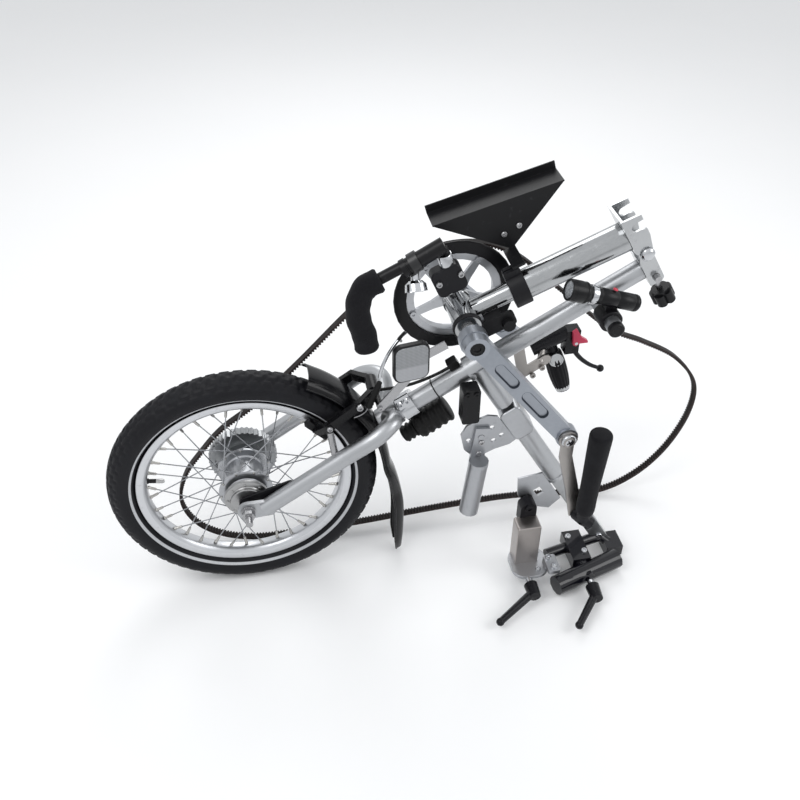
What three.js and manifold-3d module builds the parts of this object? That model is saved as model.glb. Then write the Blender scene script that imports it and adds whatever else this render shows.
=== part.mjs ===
// A folded handcycle: a driven front wheel in a fork, a straight main tube, a telescopic crank mast
// folded back over it, a slack toothed belt, and a docking beam with two clamps.
// Lengths are millimetres. X runs from the wheel to the mast hinge, Z is up, and the axle lies along Y.
// The near side of the handcycle is -Y and the belt runs on the far side, +Y.

import * as THREE from 'three';
import { mergeVertices } from 'three/addons/utils/BufferGeometryUtils.js';
import Module from 'manifold-3d';

const wasm = await Module();
wasm.setup();

// Clearances shared by every piece.
const seatGap = 0.3;
const runningGap = 1.2;
const overrun = 3;

// Driving dimensions of the layout. Places in the plane of the wheel are measured from the axle.
const wheelRadius = 200;
const axleHalfLength = 95;
const crankCentreX = 324;
const crankCentreZ = 258;
const mastRootUp = 63.5;
const mainTubeSlope = THREE.MathUtils.degToRad(30.5);
const crownCentreX = 236;
const crownCentreZ = 99;
const webAlong = 396;
const hingePastWeb = 14;
const hingeAlong = webAlong + hingePastWeb;
const hingeUp = 38;
const mainTubeRadius = 14.6;
const beltPlaneY = 54;
const beltWidth = 11;
const beltPitch = 8;

// Plain vector helpers.
const vec = (x, y, z) => new THREE.Vector3(x, y, z);
const at = ([x, y, z]) => vec(x, y, z);
const axisX = vec(1, 0, 0);
const axisY = vec(0, 1, 0);
const axisZ = vec(0, 0, 1);
const lean = (slope) => vec(Math.cos(slope), 0, Math.sin(slope));
const step = (from, direction, length) => from.clone().addScaledVector(direction, length);
const crossOf = (a, b) => new THREE.Vector3().crossVectors(a, b).normalize();

// How many flat sides a round surface gets.
const fine = 20;
const medium = 14;
const coarse = 10;
const ringSides = 32;

// Solid helpers: every piece is a closed manifold made from three.js geometry.
function solidOf(geometry) {
  const bare = geometry.index ? geometry.toNonIndexed() : geometry.clone();
  bare.deleteAttribute('normal');
  bare.deleteAttribute('uv');
  const merged = mergeVertices(bare);
  const points = merged.attributes.position.array;
  const faces = Array.from(merged.index.array);
  const kept = [];
  let volume = 0;
  for (let i = 0; i < faces.length; i += 3) {
    const [a, b, c] = [faces[i], faces[i + 1], faces[i + 2]];
    if (a === b || b === c || a === c) continue;
    kept.push(a, b, c);
    const pa = vec(points[a * 3], points[a * 3 + 1], points[a * 3 + 2]);
    const pb = vec(points[b * 3], points[b * 3 + 1], points[b * 3 + 2]);
    const pc = vec(points[c * 3], points[c * 3 + 1], points[c * 3 + 2]);
    volume += pa.dot(pb.cross(pc));
  }
  if (volume < 0) kept.reverse();
  return new wasm.Manifold(new wasm.Mesh({
    numProp: 3,
    vertProperties: Float32Array.from(points),
    triVerts: Uint32Array.from(kept),
  }));
}

const join = (...solids) => solids.reduce((sum, next) => sum.add(next));
const cut = (solid, ...tools) => tools.reduce((left, tool) => left.subtract(tool), solid);

// A matrix whose columns are the given local axes, placed at the origin given.
function basis(origin, xDirection, yDirection) {
  const x = xDirection.clone().normalize();
  const z = crossOf(x, yDirection);
  const y = crossOf(z, x);
  return new THREE.Matrix4().makeBasis(x, y, z).setPosition(origin);
}

// A round bar or cone from one point to another.
function rod(from, to, radius, endRadius = radius, sides = medium) {
  const along = to.clone().sub(from);
  const length = along.length();
  const bar = new THREE.CylinderGeometry(endRadius, radius, length, sides);
  bar.translate(0, length / 2, 0);
  const side = Math.abs(along.clone().normalize().dot(axisY)) > 0.9 ? axisX : axisY;
  bar.applyMatrix4(basis(from, side.clone().cross(along), along));
  return solidOf(bar);
}

function pipe(from, to, outer, inner, sides = fine) {
  const along = to.clone().sub(from).normalize();
  return cut(rod(from, to, outer, outer, sides),
    rod(step(from, along, -overrun), step(to, along, overrun), inner, inner, sides));
}

// A turned piece: the profile is [radius, distance along the axis].
function turned(profile, origin, direction, sides = 32) {
  const points = profile.map(([r, y]) => new THREE.Vector2(r, y));
  const body = new THREE.LatheGeometry(points, sides);
  const side = Math.abs(direction.dot(axisX)) > 0.9 ? axisY : axisX;
  body.applyMatrix4(basis(origin, side.clone().cross(direction).cross(direction).negate(), direction));
  return solidOf(body);
}

// A block with its size along the local axes given, centred on a point.
function block(centre, size, xDirection = axisX, yDirection = axisY) {
  const body = new THREE.BoxGeometry(size[0], size[1], size[2]);
  body.applyMatrix4(basis(centre, xDirection, yDirection));
  return solidOf(body);
}

// A flat bar between two points.
function barBetween(from, to, width, thickness, widthDirection) {
  const along = to.clone().sub(from);
  const length = along.length();
  along.normalize();
  return block(from.clone().lerp(to, 0.5), [length + thickness / 2, width, thickness], along, widthDirection);
}

// A rounded rectangle as a flat outline.
function roundedOutline(width, height, corner) {
  const shape = new THREE.Shape();
  const [w, h] = [width / 2, height / 2];
  shape.moveTo(-w + corner, -h);
  shape.lineTo(w - corner, -h);
  shape.absarc(w - corner, -h + corner, corner, -Math.PI / 2, 0);
  shape.lineTo(w, h - corner);
  shape.absarc(w - corner, h - corner, corner, 0, Math.PI / 2);
  shape.lineTo(-w + corner, h);
  shape.absarc(-w + corner, h - corner, corner, Math.PI / 2, Math.PI);
  shape.lineTo(-w, -h + corner);
  shape.absarc(-w + corner, -h + corner, corner, Math.PI, Math.PI * 1.5);
  return shape;
}

// An outline of straight sides through the given points.
function outline(points) {
  return new THREE.Shape(points.map(([x, y]) => new THREE.Vector2(x, y)));
}

// A flat plate of even thickness: the outline lies across the given axes and is centred on its thickness.
function plate(shape, thickness, origin, xDirection, yDirection, curveSegments = 3) {
  const body = new THREE.ExtrudeGeometry(shape, { depth: thickness, bevelEnabled: false, curveSegments });
  body.translate(0, 0, -thickness / 2);
  body.applyMatrix4(basis(origin, xDirection, yDirection));
  return solidOf(body);
}

// A plate whose outline lies in the plane of the wheel, between two places along Y.
function wheelPlanePlate(shape, fromY, toY, curveSegments = 3) {
  return plate(shape, toY - fromY, vec(0, (fromY + toY) / 2, 0), axisX, axisZ, curveSegments);
}

// A round bar bent along a smooth route.
function bentRod(points, radius, steps, sides = 12) {
  const section = new THREE.Shape();
  section.absarc(0, 0, radius, 0, Math.PI * 2);
  const route = new THREE.CatmullRomCurve3(points, false, 'centripetal');
  const body = new THREE.ExtrudeGeometry(section, { steps, extrudePath: route, curveSegments: sides / 2 });
  return solidOf(body);
}

function ball(centre, radius, across = 14) {
  const body = new THREE.SphereGeometry(radius, across, Math.round(across * 0.6));
  body.translate(centre.x, centre.y, centre.z);
  return solidOf(body);
}

function hexagon(from, to, acrossFlats) {
  const radius = acrossFlats / Math.sqrt(3);
  return rod(from, to, radius, radius, 6);
}

// The head of a socket screw seen from outside, sunk a little into what it holds.
function screw(seat, outward, headRadius, headHeight) {
  const top = step(seat, outward, headHeight);
  const head = rod(step(seat, outward, -seatGap), top, headRadius, headRadius, coarse);
  const recess = rod(step(top, outward, -headHeight / 2), step(top, outward, overrun), headRadius / 2,
    headRadius / 2, 6);
  return cut(head, recess);
}

// The scene graph. A body is a group at its pivot, and a piece is a mesh in its body's group.
const handcycle = new THREE.Group();
handcycle.position.y = axleHalfLength;

function bodyAt(pivot, parent = handcycle) {
  const group = new THREE.Group();
  const base = new THREE.Vector3();
  for (let above = parent; above && above !== handcycle; above = above.parent) base.add(above.position);
  group.position.copy(pivot).sub(base);
  group.userData.pivot = pivot;
  parent.add(group);
  return group;
}

function piece(name, solid, material, body = handcycle) {
  const mesh = solid.getMesh();
  const geometry = new THREE.BufferGeometry();
  geometry.setAttribute('position', new THREE.BufferAttribute(Float32Array.from(mesh.vertProperties), 3));
  geometry.setIndex(new THREE.BufferAttribute(Uint32Array.from(mesh.triVerts), 1));
  const pivot = body.userData.pivot ?? vec(0, 0, 0);
  geometry.translate(-pivot.x, -pivot.y, -pivot.z);
  const part = new THREE.Mesh(geometry, material);
  part.name = name;
  body.add(part);
  return part;
}

const finish = (color, roughness, metalness) => new THREE.MeshStandardMaterial({ color, roughness,
  metalness });
const satinAluminium = finish(0xb9bcc4, 0.42, 0.9);
const polishedMetal = finish(0xe2e4e8, 0.12, 1);
const brightSteel = finish(0xcfd2d6, 0.25, 1);
const bluedSatin = finish(0xa4abb6, 0.4, 0.85);
const blackCoat = finish(0x17181b, 0.5, 0.1);
const glossBlack = finish(0x0d0e10, 0.12, 0);
const foamBlack = finish(0x121314, 0.95, 0);
const tyreRubber = finish(0x1f2125, 0.85, 0);
const beltRubber = finish(0x2a2524, 0.8, 0);
const greyPlate = finish(0xc8cbd0, 0.45, 0.5);
const wornSteel = finish(0x8d857e, 0.4, 0.9);
const clearPlastic = finish(0xdfe3e6, 0.1, 0);
const redPlastic = finish(0xb6304f, 0.4, 0);

// Main directions and places that the layout gives.
const mainAxis = lean(mainTubeSlope);
const crownCentre = vec(crownCentreX, 0, crownCentreZ);
const crankCentre = vec(crankCentreX, 0, crankCentreZ);
const upMain = vec(-mainAxis.z, 0, mainAxis.x);
const onMain = (along, acrossY = 0, up = 0) =>
  step(step(crownCentre, mainAxis, along), upMain, up).add(vec(0, acrossY, 0));
const mastHinge = onMain(hingeAlong, 0, hingeUp);
const mastReach = onMain(webAlong, 0, mastRootUp).sub(crankCentre);
const mastLength = mastReach.length();
const mastAxis = mastReach.clone().normalize();
const mastUp = vec(-mastAxis.z, 0, mastAxis.x);
const mainTubeLength = webAlong - seatGap;

// Wheel: tyre, rim, spokes, hub shell.
const wheel = bodyAt(vec(0, 0, 0));
const tyreHalfWidth = 23.5;
const tyreWall = 2.6;
const tyreHeight = 41.5;
const rimFlangeRadius = wheelRadius - tyreHeight;
const rimHalfWidth = 13.5;
const rimDepth = 16;
const flangeWidth = 1.8;
const rimBedDrop = 8.5;
const rimBedRadius = rimFlangeRadius - rimBedDrop;
const rimWall = 2;
const wheelSides = 40;

function tyreProfile() {
  const sectionRadius = (wheelRadius - rimFlangeRadius) / 2;
  const middle = wheelRadius - sectionRadius;
  const beadHalf = rimHalfWidth - flangeWidth - seatGap;
  const footHalf = beadHalf - rimWall / 2;
  const beadRadius = rimBedRadius + tyreWall;
  const outer = [];
  const inner = [];
  const from = THREE.MathUtils.degToRad(-62);
  const to = THREE.MathUtils.degToRad(242);
  const count = 8;
  for (let i = 0; i <= count; i += 1) {
    const angle = from + ((to - from) * i) / count;
    outer.push([middle + sectionRadius * Math.sin(angle), tyreHalfWidth * Math.cos(angle)]);
    if (i % 2 === 0) {
      inner.push([
        middle + (sectionRadius - tyreWall) * Math.sin(angle),
        (tyreHalfWidth - tyreWall) * Math.cos(angle),
      ]);
    }
  }
  const bead = [[beadRadius, footHalf], [rimFlangeRadius + seatGap, beadHalf]];
  const farBead = [[rimFlangeRadius + seatGap, -beadHalf], [beadRadius, -footHalf]];
  const farInner = [[beadRadius, -footHalf + tyreWall]];
  const nearInner = [[beadRadius, footHalf - tyreWall]];
  const inside = inner.slice(1, -1).reverse();
  const profile = [...bead, ...outer.slice(1, -1), ...farBead, ...farInner, ...inside, ...nearInner];
  return [...profile, profile[0]];
}
piece('tyre', turned(tyreProfile(), vec(0, 0, 0), axisY, wheelSides), tyreRubber, wheel);

const rimInnerRadius = rimFlangeRadius - rimDepth;
const rimApexHalf = 5;
function rimProfile() {
  const half = [
    [rimFlangeRadius, rimHalfWidth],
    [rimFlangeRadius, rimHalfWidth - flangeWidth],
    [rimBedRadius + rimWall, rimHalfWidth - flangeWidth - rimWall / 2],
    [rimBedRadius - rimWall / 2, rimApexHalf],
  ];
  const back = [
    [rimInnerRadius, -rimApexHalf],
    [rimBedRadius - rimWall, -rimHalfWidth + rimWall / 2],
  ];
  const mirrored = half.map(([r, y]) => [r, -y]).reverse();
  const front = back.map(([r, y]) => [r, -y]).reverse();
  return [...half, ...mirrored, ...back.reverse(), ...front.reverse(), half[0]];
}
piece('rim', turned(rimProfile(), vec(0, 0, 0), axisY, wheelSides), brightSteel, wheel);

const axleRadius = 5;
const axleBore = axleRadius + seatGap;
const flangeRadius = 40;
const flangeHalf = 24;
const flangeThickness = 4;
const shellRadius = 27;
const shellHalfLength = 34;
const shellEndRadius = 20;
function hubProfile() {
  const inside = flangeHalf - flangeThickness / 2;
  const outside = flangeHalf + flangeThickness / 2;
  return [
    [axleBore, -shellHalfLength], [shellEndRadius, -shellHalfLength], [shellRadius, -outside],
    [flangeRadius, -outside], [flangeRadius, -inside], [shellRadius, -inside],
    [shellRadius, inside], [flangeRadius, inside], [flangeRadius, outside],
    [shellRadius, outside], [shellEndRadius, shellHalfLength], [axleBore, shellHalfLength],
    [axleBore, -shellHalfLength],
  ];
}
const spokeCount = 36;
const spokeRadius = 0.9;
const nippleRadius = 2.2;
const nippleLength = 13;
const spokeCrossTurn = THREE.MathUtils.degToRad(52);
function spokes() {
  const all = [];
  for (let i = 0; i < spokeCount; i += 1) {
    const side = i % 2 === 0 ? 1 : -1;
    const cross = i % 4 < 2 ? 1 : -1;
    const rimAngle = ((i + 0.5) / spokeCount) * Math.PI * 2;
    const hubAngle = rimAngle + cross * spokeCrossTurn;
    const hubY = side * (flangeHalf + cross * flangeThickness / 2);
    const footRadius = flangeRadius - nippleRadius;
    const foot = vec(footRadius * Math.cos(hubAngle), hubY, footRadius * Math.sin(hubAngle));
    const tipRadius = rimInnerRadius * Math.cos(Math.PI / wheelSides) - seatGap;
    const tip = vec(tipRadius * Math.cos(rimAngle), side * spokeRadius * 2, tipRadius * Math.sin(rimAngle));
    const along = tip.clone().sub(foot);
    const length = along.length();
    along.normalize();
    all.push(turned([
      [0, 0], [spokeRadius, 0], [spokeRadius, length - nippleLength],
      [nippleRadius, length - nippleLength], [nippleRadius, length - nippleRadius], [0, length],
    ], foot, along, 3));
  }
  return all;
}
const hubShell = turned(hubProfile(), vec(0, 0, 0), axisY, fine);
piece('spoked_hub', join(hubShell, ...spokes()), brightSteel, wheel);

// Hub fittings that stay still: axle with its nuts, brake drum cover, torque arm.
const bladeY = 65;
const farBladeY = 79;
const dropoutThickness = 6;
const nutFlats = 17;
const nutLength = 10;
const washerRadius = 11;
const washerThickness = 1.6;
const nearSeatY = -bladeY - dropoutThickness / 2 - seatGap;
const farSeatY = farBladeY + dropoutThickness / 2 + seatGap;
const nut = (fromY, outwardY) => {
  const washerTop = fromY + outwardY * washerThickness;
  const top = washerTop + outwardY * nutLength;
  return join(
    rod(vec(0, fromY, 0), vec(0, washerTop, 0), washerRadius, washerRadius, medium),
    hexagon(vec(0, washerTop - outwardY * seatGap, 0), vec(0, top, 0), nutFlats));
};
const farAxleEnd = farSeatY + washerThickness + nutLength + axleRadius;
piece('axle', join(
  rod(vec(0, -axleHalfLength, 0), vec(0, farAxleEnd, 0), axleRadius, axleRadius, medium),
  nut(nearSeatY, -1), nut(farSeatY, 1)), brightSteel);

const drumRadius = 33;
const drumStepRadius = 24;
const drumFromY = -shellHalfLength - runningGap;
const torqueArmThickness = 4;
const bladeRadius = 12.5;
const drumToY = -bladeY + bladeRadius + torqueArmThickness + 3 * seatGap;
const drumStepY = (drumFromY + drumToY) / 2;
piece('hub_brake_drum', turned([
  [axleBore, drumFromY], [drumRadius, drumFromY], [drumRadius, drumStepY + rimWall],
  [drumRadius - rimWall, drumStepY], [drumStepRadius, drumStepY - rimWall], [drumStepRadius, drumToY],
  [axleBore, drumToY], [axleBore, drumFromY],
], vec(0, 0, 0), axisY, medium), brightSteel);

const torqueArmLength = 70;
const torqueArmWidth = 24;
const torqueSlope = THREE.MathUtils.degToRad(23);
function torqueArm() {
  const shape = new THREE.Shape();
  const half = torqueArmWidth / 2;
  shape.absarc(0, 0, half, Math.PI / 2, Math.PI * 1.5);
  shape.lineTo(torqueArmLength, -half / 2);
  shape.absarc(torqueArmLength, 0, half / 2, -Math.PI / 2, Math.PI / 2);
  const arm = plate(shape, torqueArmThickness,
    vec(0, drumToY - seatGap - torqueArmThickness / 2, 0), lean(torqueSlope), axisZ, 8);
  return cut(arm, rod(vec(0, -axleHalfLength, 0), vec(0, 0, 0), axleBore));
}
piece('torque_arm', torqueArm(), blackCoat);

// Belt drive teeth: both toothed wheels share the belt's pitch.
const toothDepth = 2.6;
const beltBack = 2.4;
const rearTeeth = 42;
const frontTeeth = 60;
const pitchRadius = (teeth) => (teeth * beltPitch) / (2 * Math.PI);
const pulleyLip = 3;
const pulleyWidth = beltWidth + pulleyLip;
function toothedOutline(teeth) {
  const tip = pitchRadius(teeth) - beltBack / 2;
  const root = tip - toothDepth;
  const points = [];
  for (let i = 0; i < teeth; i += 1) {
    const turn = (Math.PI * 2) / teeth;
    points.push([tip * Math.cos(i * turn), tip * Math.sin(i * turn)]);
    points.push([root * Math.cos((i + 0.5) * turn), root * Math.sin((i + 0.5) * turn)]);
  }
  return outline(points);
}

const driver = bodyAt(vec(0, 0, 0));
const driverHubRadius = 21;
const driverHubLength = 9;
const driverDish = 30;
const driverFromY = beltPlaneY - pulleyWidth / 2;
const driverToY = beltPlaneY + pulleyWidth / 2;
function driverWheel() {
  const ring = plate(toothedOutline(rearTeeth), pulleyWidth, vec(0, beltPlaneY, 0), axisX, axisZ);
  const dish = turned([
    [driverDish, driverFromY - overrun], [pitchRadius(rearTeeth) - toothDepth * 4, driverFromY - overrun],
    [pitchRadius(rearTeeth) - toothDepth * 4, driverFromY + pulleyWidth / 3], [driverDish,
    driverFromY + pulleyWidth / 3],
    [driverDish, driverFromY - overrun],
  ], vec(0, 0, 0), axisY, fine);
  const hub = rod(vec(0, driverFromY - driverHubLength, 0), vec(0, driverToY, 0), driverHubRadius,
    driverHubRadius, fine);
  return cut(join(cut(ring, dish), hub), rod(vec(0, 0, 0), vec(0, axleHalfLength, 0), axleBore));
}
piece('rear_belt_wheel', driverWheel(), brightSteel, driver);

// Fork: two bent blades, dropouts and the crown they are welded to.
const bladeFootX = 24;
const bladeBendX = 195;
const bladeBendZ = 112;
const crownRadius = 18.5;
const crownLength = 34;
const dropoutRadius = 15;
const bladeStraightShares = [0.35, 0.7];
const crownBackShare = 0.62;
const shoulderSpreadShare = 0.72;
const shoulderRiseShare = 1.6;
const bladeSteps = 15;
function blade(side, spreadY) {
  const foot = vec(bladeFootX, side * spreadY, 0);
  const bend = vec(bladeBendX, side * spreadY, bladeBendZ);
  const crownBack = step(crownCentre, mainAxis, -crownLength * crownBackShare);
  const shoulder = vec((bladeBendX + crownBack.x) / 2 + bladeRadius, side * spreadY * shoulderSpreadShare,
    (bladeBendZ + crownBack.z) / 2 + bladeRadius * shoulderRiseShare);
  const neck = vec(crownBack.x, side * bladeRadius / 2, crownBack.z + bladeRadius / 3);
  const straight = bladeStraightShares.map((share) => foot.clone().lerp(bend, share));
  const tube = bentRod([foot, ...straight, bend, shoulder, neck], bladeRadius, bladeSteps, 8);
  const shape = new THREE.Shape();
  shape.absarc(0, 0, dropoutRadius, Math.PI / 2, Math.PI * 1.5);
  shape.lineTo(bladeFootX + bladeRadius, -bladeRadius);
  shape.lineTo(bladeFootX + bladeRadius * 2, bladeRadius);
  shape.lineTo(bladeFootX, dropoutRadius);
  const tab = plate(shape, dropoutThickness, vec(0, side * spreadY, 0), axisX, axisZ, 4);
  return join(tube, tab);
}
function fork() {
  const crown = rod(step(crownCentre, mainAxis, -crownLength), step(crownCentre, mainAxis, -seatGap),
    crownRadius, crownRadius, fine);
  const axleHole = rod(vec(0, -axleHalfLength - overrun, 0), vec(0, farAxleEnd + overrun, 0), axleBore);
  return cut(join(blade(-1, bladeY), blade(1, farBladeY), crown), axleHole);
}
piece('fork', fork(), satinAluminium);

// Main tube, welded to the crown plug and clamped by a split collar.
const mainTubeWall = 2.5;
const lightStubAlong = 324;
const lightStubRadius = 11;
const lightStubEndY = -86;
const stubPlugLength = 6;
function mainTube() {
  const tube = pipe(crownCentre, onMain(mainTubeLength), mainTubeRadius, mainTubeRadius - mainTubeWall, fine);
  const inside = rod(crownCentre, onMain(mainTubeLength), mainTubeRadius - mainTubeWall,
    mainTubeRadius - mainTubeWall, fine);
  const stub = rod(onMain(lightStubAlong), onMain(lightStubAlong, lightStubEndY + stubPlugLength),
    lightStubRadius,
    lightStubRadius, medium);
  const plug = rod(onMain(lightStubAlong, lightStubEndY + stubPlugLength + seatGap), onMain(lightStubAlong,
    lightStubEndY),
    lightStubRadius * 0.8, lightStubRadius * 0.7, medium);
  return cut(join(tube, stub, plug), inside);
}
piece('main_tube', mainTube(), satinAluminium);

const collarLength = 22;
const collarRadius = 20.5;
const collarStart = 5;
const earLength = 16;
const earThickness = 15;
const collarBolt = 3;
function crownCollar() {
  const ring = rod(onMain(collarStart), onMain(collarStart + collarLength), collarRadius, collarRadius, fine);
  const ears = block(onMain(collarStart + collarLength / 2, -collarRadius / 2, collarRadius),
    [collarLength, earThickness, earLength], mainAxis, axisY);
  const bore = rod(onMain(collarStart - overrun), onMain(collarStart + collarLength + overrun),
    mainTubeRadius + seatGap, mainTubeRadius + seatGap, fine);
  const slit = block(onMain(collarStart + collarLength / 2, -collarRadius / 2, collarRadius),
    [collarLength + overrun * 2, 2 * runningGap, earLength * 2], mainAxis, axisY);
  const bolts = [0.25, 0.75].map((share) => screw(
    onMain(collarStart + collarLength * share, -collarRadius / 2 - earThickness / 2,
      collarRadius + earLength / 5),
    vec(0, -1, 0), collarBolt * 1.7, collarBolt * 1.6));
  return join(cut(ring, bore, slit).add(cut(ears, slit, bore)), ...bolts);
}
piece('crown_collar', crownCollar(), polishedMetal);

// Hinge: two channels that nest when the mast is unfolded. The narrow one is on the main tube.
const channelWall = 4;
const lowerHalfWidth = 20;
const upperHalfWidth = 25;
const lowerDepth = 22;
const upperDepth = 28;
const lowerBottom = -20;
const lowerWebTop = 26;
const upperWebBottom = 47;
const upperTop = 104;
const hingeEyeRadius = 9;
const hingePinRadius = 5;
const slotWidth = 13;
const slotDepth = 19;
const slotMouth = 4;
const slotUp = 85;
const crossPinUp = 2 * hingeUp - slotUp;
const crossPinInset = 2;
const crossPinAlong = hingeAlong - crossPinInset;
const crossPinRadius = 5;
const hingeBore = (radius) => rod(step(mastHinge, axisY, -upperHalfWidth * 2), step(mastHinge, axisY,
  upperHalfWidth * 2),
  radius + seatGap);
function cheekPair(shape, halfWidth) {
  return [-1, 1].map((side) => plate(shape, channelWall,
    vec(crownCentreX, side * (halfWidth - channelWall / 2), crownCentreZ), mainAxis, upMain, 5));
}
function lowerBracket() {
  const right = webAlong + lowerDepth;
  const shape = new THREE.Shape();
  shape.moveTo(webAlong, lowerBottom);
  shape.lineTo(right - channelWall, lowerBottom);
  shape.lineTo(right, lowerBottom + channelWall);
  shape.lineTo(hingeAlong + hingeEyeRadius * 0.9, hingeUp - hingeEyeRadius);
  shape.absarc(hingeAlong, hingeUp, hingeEyeRadius, -0.3, Math.PI * 0.94);
  shape.lineTo(webAlong, lowerWebTop);
  const web = block(onMain(webAlong + channelWall / 2, 0, (lowerWebTop + lowerBottom) / 2),
    [channelWall, lowerHalfWidth * 2, lowerWebTop - lowerBottom], mainAxis, axisY);
  const crossPinBore = rod(onMain(crossPinAlong, -upperHalfWidth * 2, crossPinUp),
    onMain(crossPinAlong, upperHalfWidth * 2, crossPinUp), crossPinRadius + seatGap);
  return cut(join(web, ...cheekPair(shape, lowerHalfWidth)), hingeBore(hingePinRadius), crossPinBore);
}
piece('hinge_bracket', lowerBracket(), polishedMetal);

const domeRadius = 10;
const domeHeight = 7;
const pinHalfLength = upperHalfWidth + seatGap;
function hingePin() {
  const domes = [-1, 1].map((side) => turned([
    [0, 0], [domeRadius, 0], [domeRadius, domeHeight * 0.4], [domeRadius * 0.72, domeHeight * 0.85], [0,
      domeHeight],
  ], vec(mastHinge.x, side * pinHalfLength, mastHinge.z), vec(0, side, 0), medium));
  return join(rod(vec(mastHinge.x, -pinHalfLength - seatGap, mastHinge.z),
    vec(mastHinge.x, pinHalfLength + seatGap, mastHinge.z), hingePinRadius, hingePinRadius, medium),
    ...domes);
}
piece('hinge_pin', hingePin(), brightSteel);

// Swing bolt with its star knob, which locks the unfolded mast in the slots.
const swingPivot = onMain(crossPinAlong, 0, crossPinUp);
const swing = bodyAt(swingPivot);
const swingEyeRadius = 7.5;
const swingEyeHalf = 8;
const swingRodRadius = 4;
const swingLength = 58;
const crossPinHalf = 29;
const swingDirection = upMain.clone().negate();
function swingBolt() {
  const eye = rod(step(swingPivot, axisY, -swingEyeHalf), step(swingPivot, axisY, swingEyeHalf),
    swingEyeRadius,
    swingEyeRadius, medium);
  const crossPin = rod(step(swingPivot, axisY, -crossPinHalf), step(swingPivot, axisY, crossPinHalf),
    crossPinRadius,
    crossPinRadius, medium);
  const shank = rod(swingPivot, step(swingPivot, swingDirection, swingLength), swingRodRadius,
    swingRodRadius, coarse);
  return join(eye, crossPin, shank);
}
piece('swing_bolt', swingBolt(), brightSteel, swing);

const star = bodyAt(step(swingPivot, swingDirection, swingLength), swing);
const starRadius = 17;
const starHeight = 15;
const starPoints = 5;
const starWasher = 13;
function starKnob() {
  const shape = new THREE.Shape();
  const dipShare = 0.72;
  const starSteps = starPoints * 6;
  for (let i = 0; i <= starSteps; i += 1) {
    const angle = (i / starSteps) * Math.PI * 2;
    const swell = Math.sqrt(Math.abs(Math.cos((angle * starPoints) / 2)));
    const radius = starRadius * (dipShare + (1 - dipShare) * swell);
    if (i === 0) shape.moveTo(radius, 0);
    else shape.lineTo(radius * Math.cos(angle), radius * Math.sin(angle));
  }
  const base = step(swingPivot, swingDirection, swingLength - starHeight);
  const body = plate(shape, starHeight, step(base, swingDirection, starHeight / 2), axisY,
    crossOf(swingDirection, axisY));
  const neck = rod(step(base, swingDirection, -starHeight / 3), step(base, swingDirection, seatGap),
    starWasher,
    starWasher, medium);
  const bore = rod(step(base, swingDirection, -starHeight), step(swingPivot, swingDirection,
    swingLength + seatGap),
    swingRodRadius + seatGap);
  const cap = rod(step(swingPivot, swingDirection, swingLength + 2 * seatGap),
    step(swingPivot, swingDirection, swingLength + starHeight / 4), starWasher, starWasher * 0.8, medium);
  const rim = plate(shape, starHeight / 4, step(swingPivot, swingDirection, swingLength + starHeight / 8),
    axisY,
    crossOf(swingDirection, axisY));
  return join(cut(join(body, neck), bore), rim, cap);
}
piece('star_knob', starKnob(), blackCoat, star);

// Mast: outer tube on the hinge, black clamp collar, and the belt guard tray it carries.
const mast = bodyAt(mastHinge);
const mastWall = 3;
const mastOuterRadius = 21;
const collarAt = 84;
const mastInnerRadius = 14;
const onMast = (along, acrossY = 0, up = 0) =>
  step(step(crankCentre, mastAxis, along), mastUp, up).add(vec(0, acrossY, 0));
function mastOuter() {
  const tube = rod(onMast(collarAt), onMast(mastLength + mastOuterRadius), mastOuterRadius,
    mastOuterRadius, fine);
  const bore = rod(onMast(collarAt - overrun), onMast(mastLength + mastOuterRadius * 2),
    mastOuterRadius - mastWall, mastOuterRadius - mastWall, fine);
  const bush = pipe(onMast(collarAt), onMast(collarAt + mastOuterRadius), mastOuterRadius - mastWall / 2,
    mastInnerRadius + seatGap, fine);
  const beyond = block(onMain(webAlong - seatGap + mastOuterRadius * 2, 0, slotUp),
    [mastOuterRadius * 4, mastOuterRadius * 4, mastOuterRadius * 8], mainAxis, axisY);
  return cut(join(cut(tube, bore), bush), beyond);
}
piece('mast_outer', mastOuter(), polishedMetal, mast);

function upperBracket() {
  const right = webAlong + upperDepth;
  const shape = new THREE.Shape();
  shape.moveTo(webAlong, upperWebBottom);
  shape.lineTo(hingeAlong - hingeEyeRadius, hingeUp);
  shape.absarc(hingeAlong, hingeUp, hingeEyeRadius, -Math.PI, 0);
  shape.lineTo(right, slotUp - slotWidth * 1.6);
  shape.lineTo(right, slotUp - slotWidth / 2 - slotMouth);
  shape.lineTo(right - slotMouth * 2, slotUp - slotWidth / 2);
  shape.lineTo(right - slotDepth + slotWidth / 2, slotUp - slotWidth / 2);
  shape.absarc(right - slotDepth + slotWidth / 2, slotUp, slotWidth / 2, -Math.PI / 2, -Math.PI * 1.5, true);
  shape.lineTo(right, slotUp + slotWidth / 2);
  shape.lineTo(right, upperTop - channelWall);
  shape.lineTo(webAlong, upperTop);
  const web = block(onMain(webAlong + channelWall / 2, 0, (upperTop + upperWebBottom) / 2),
    [channelWall, upperHalfWidth * 2, upperTop - upperWebBottom], mainAxis, axisY);
  return cut(join(web, ...cheekPair(shape, upperHalfWidth)), hingeBore(hingePinRadius));
}
piece('mast_bracket', upperBracket(), polishedMetal, mast);

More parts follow.
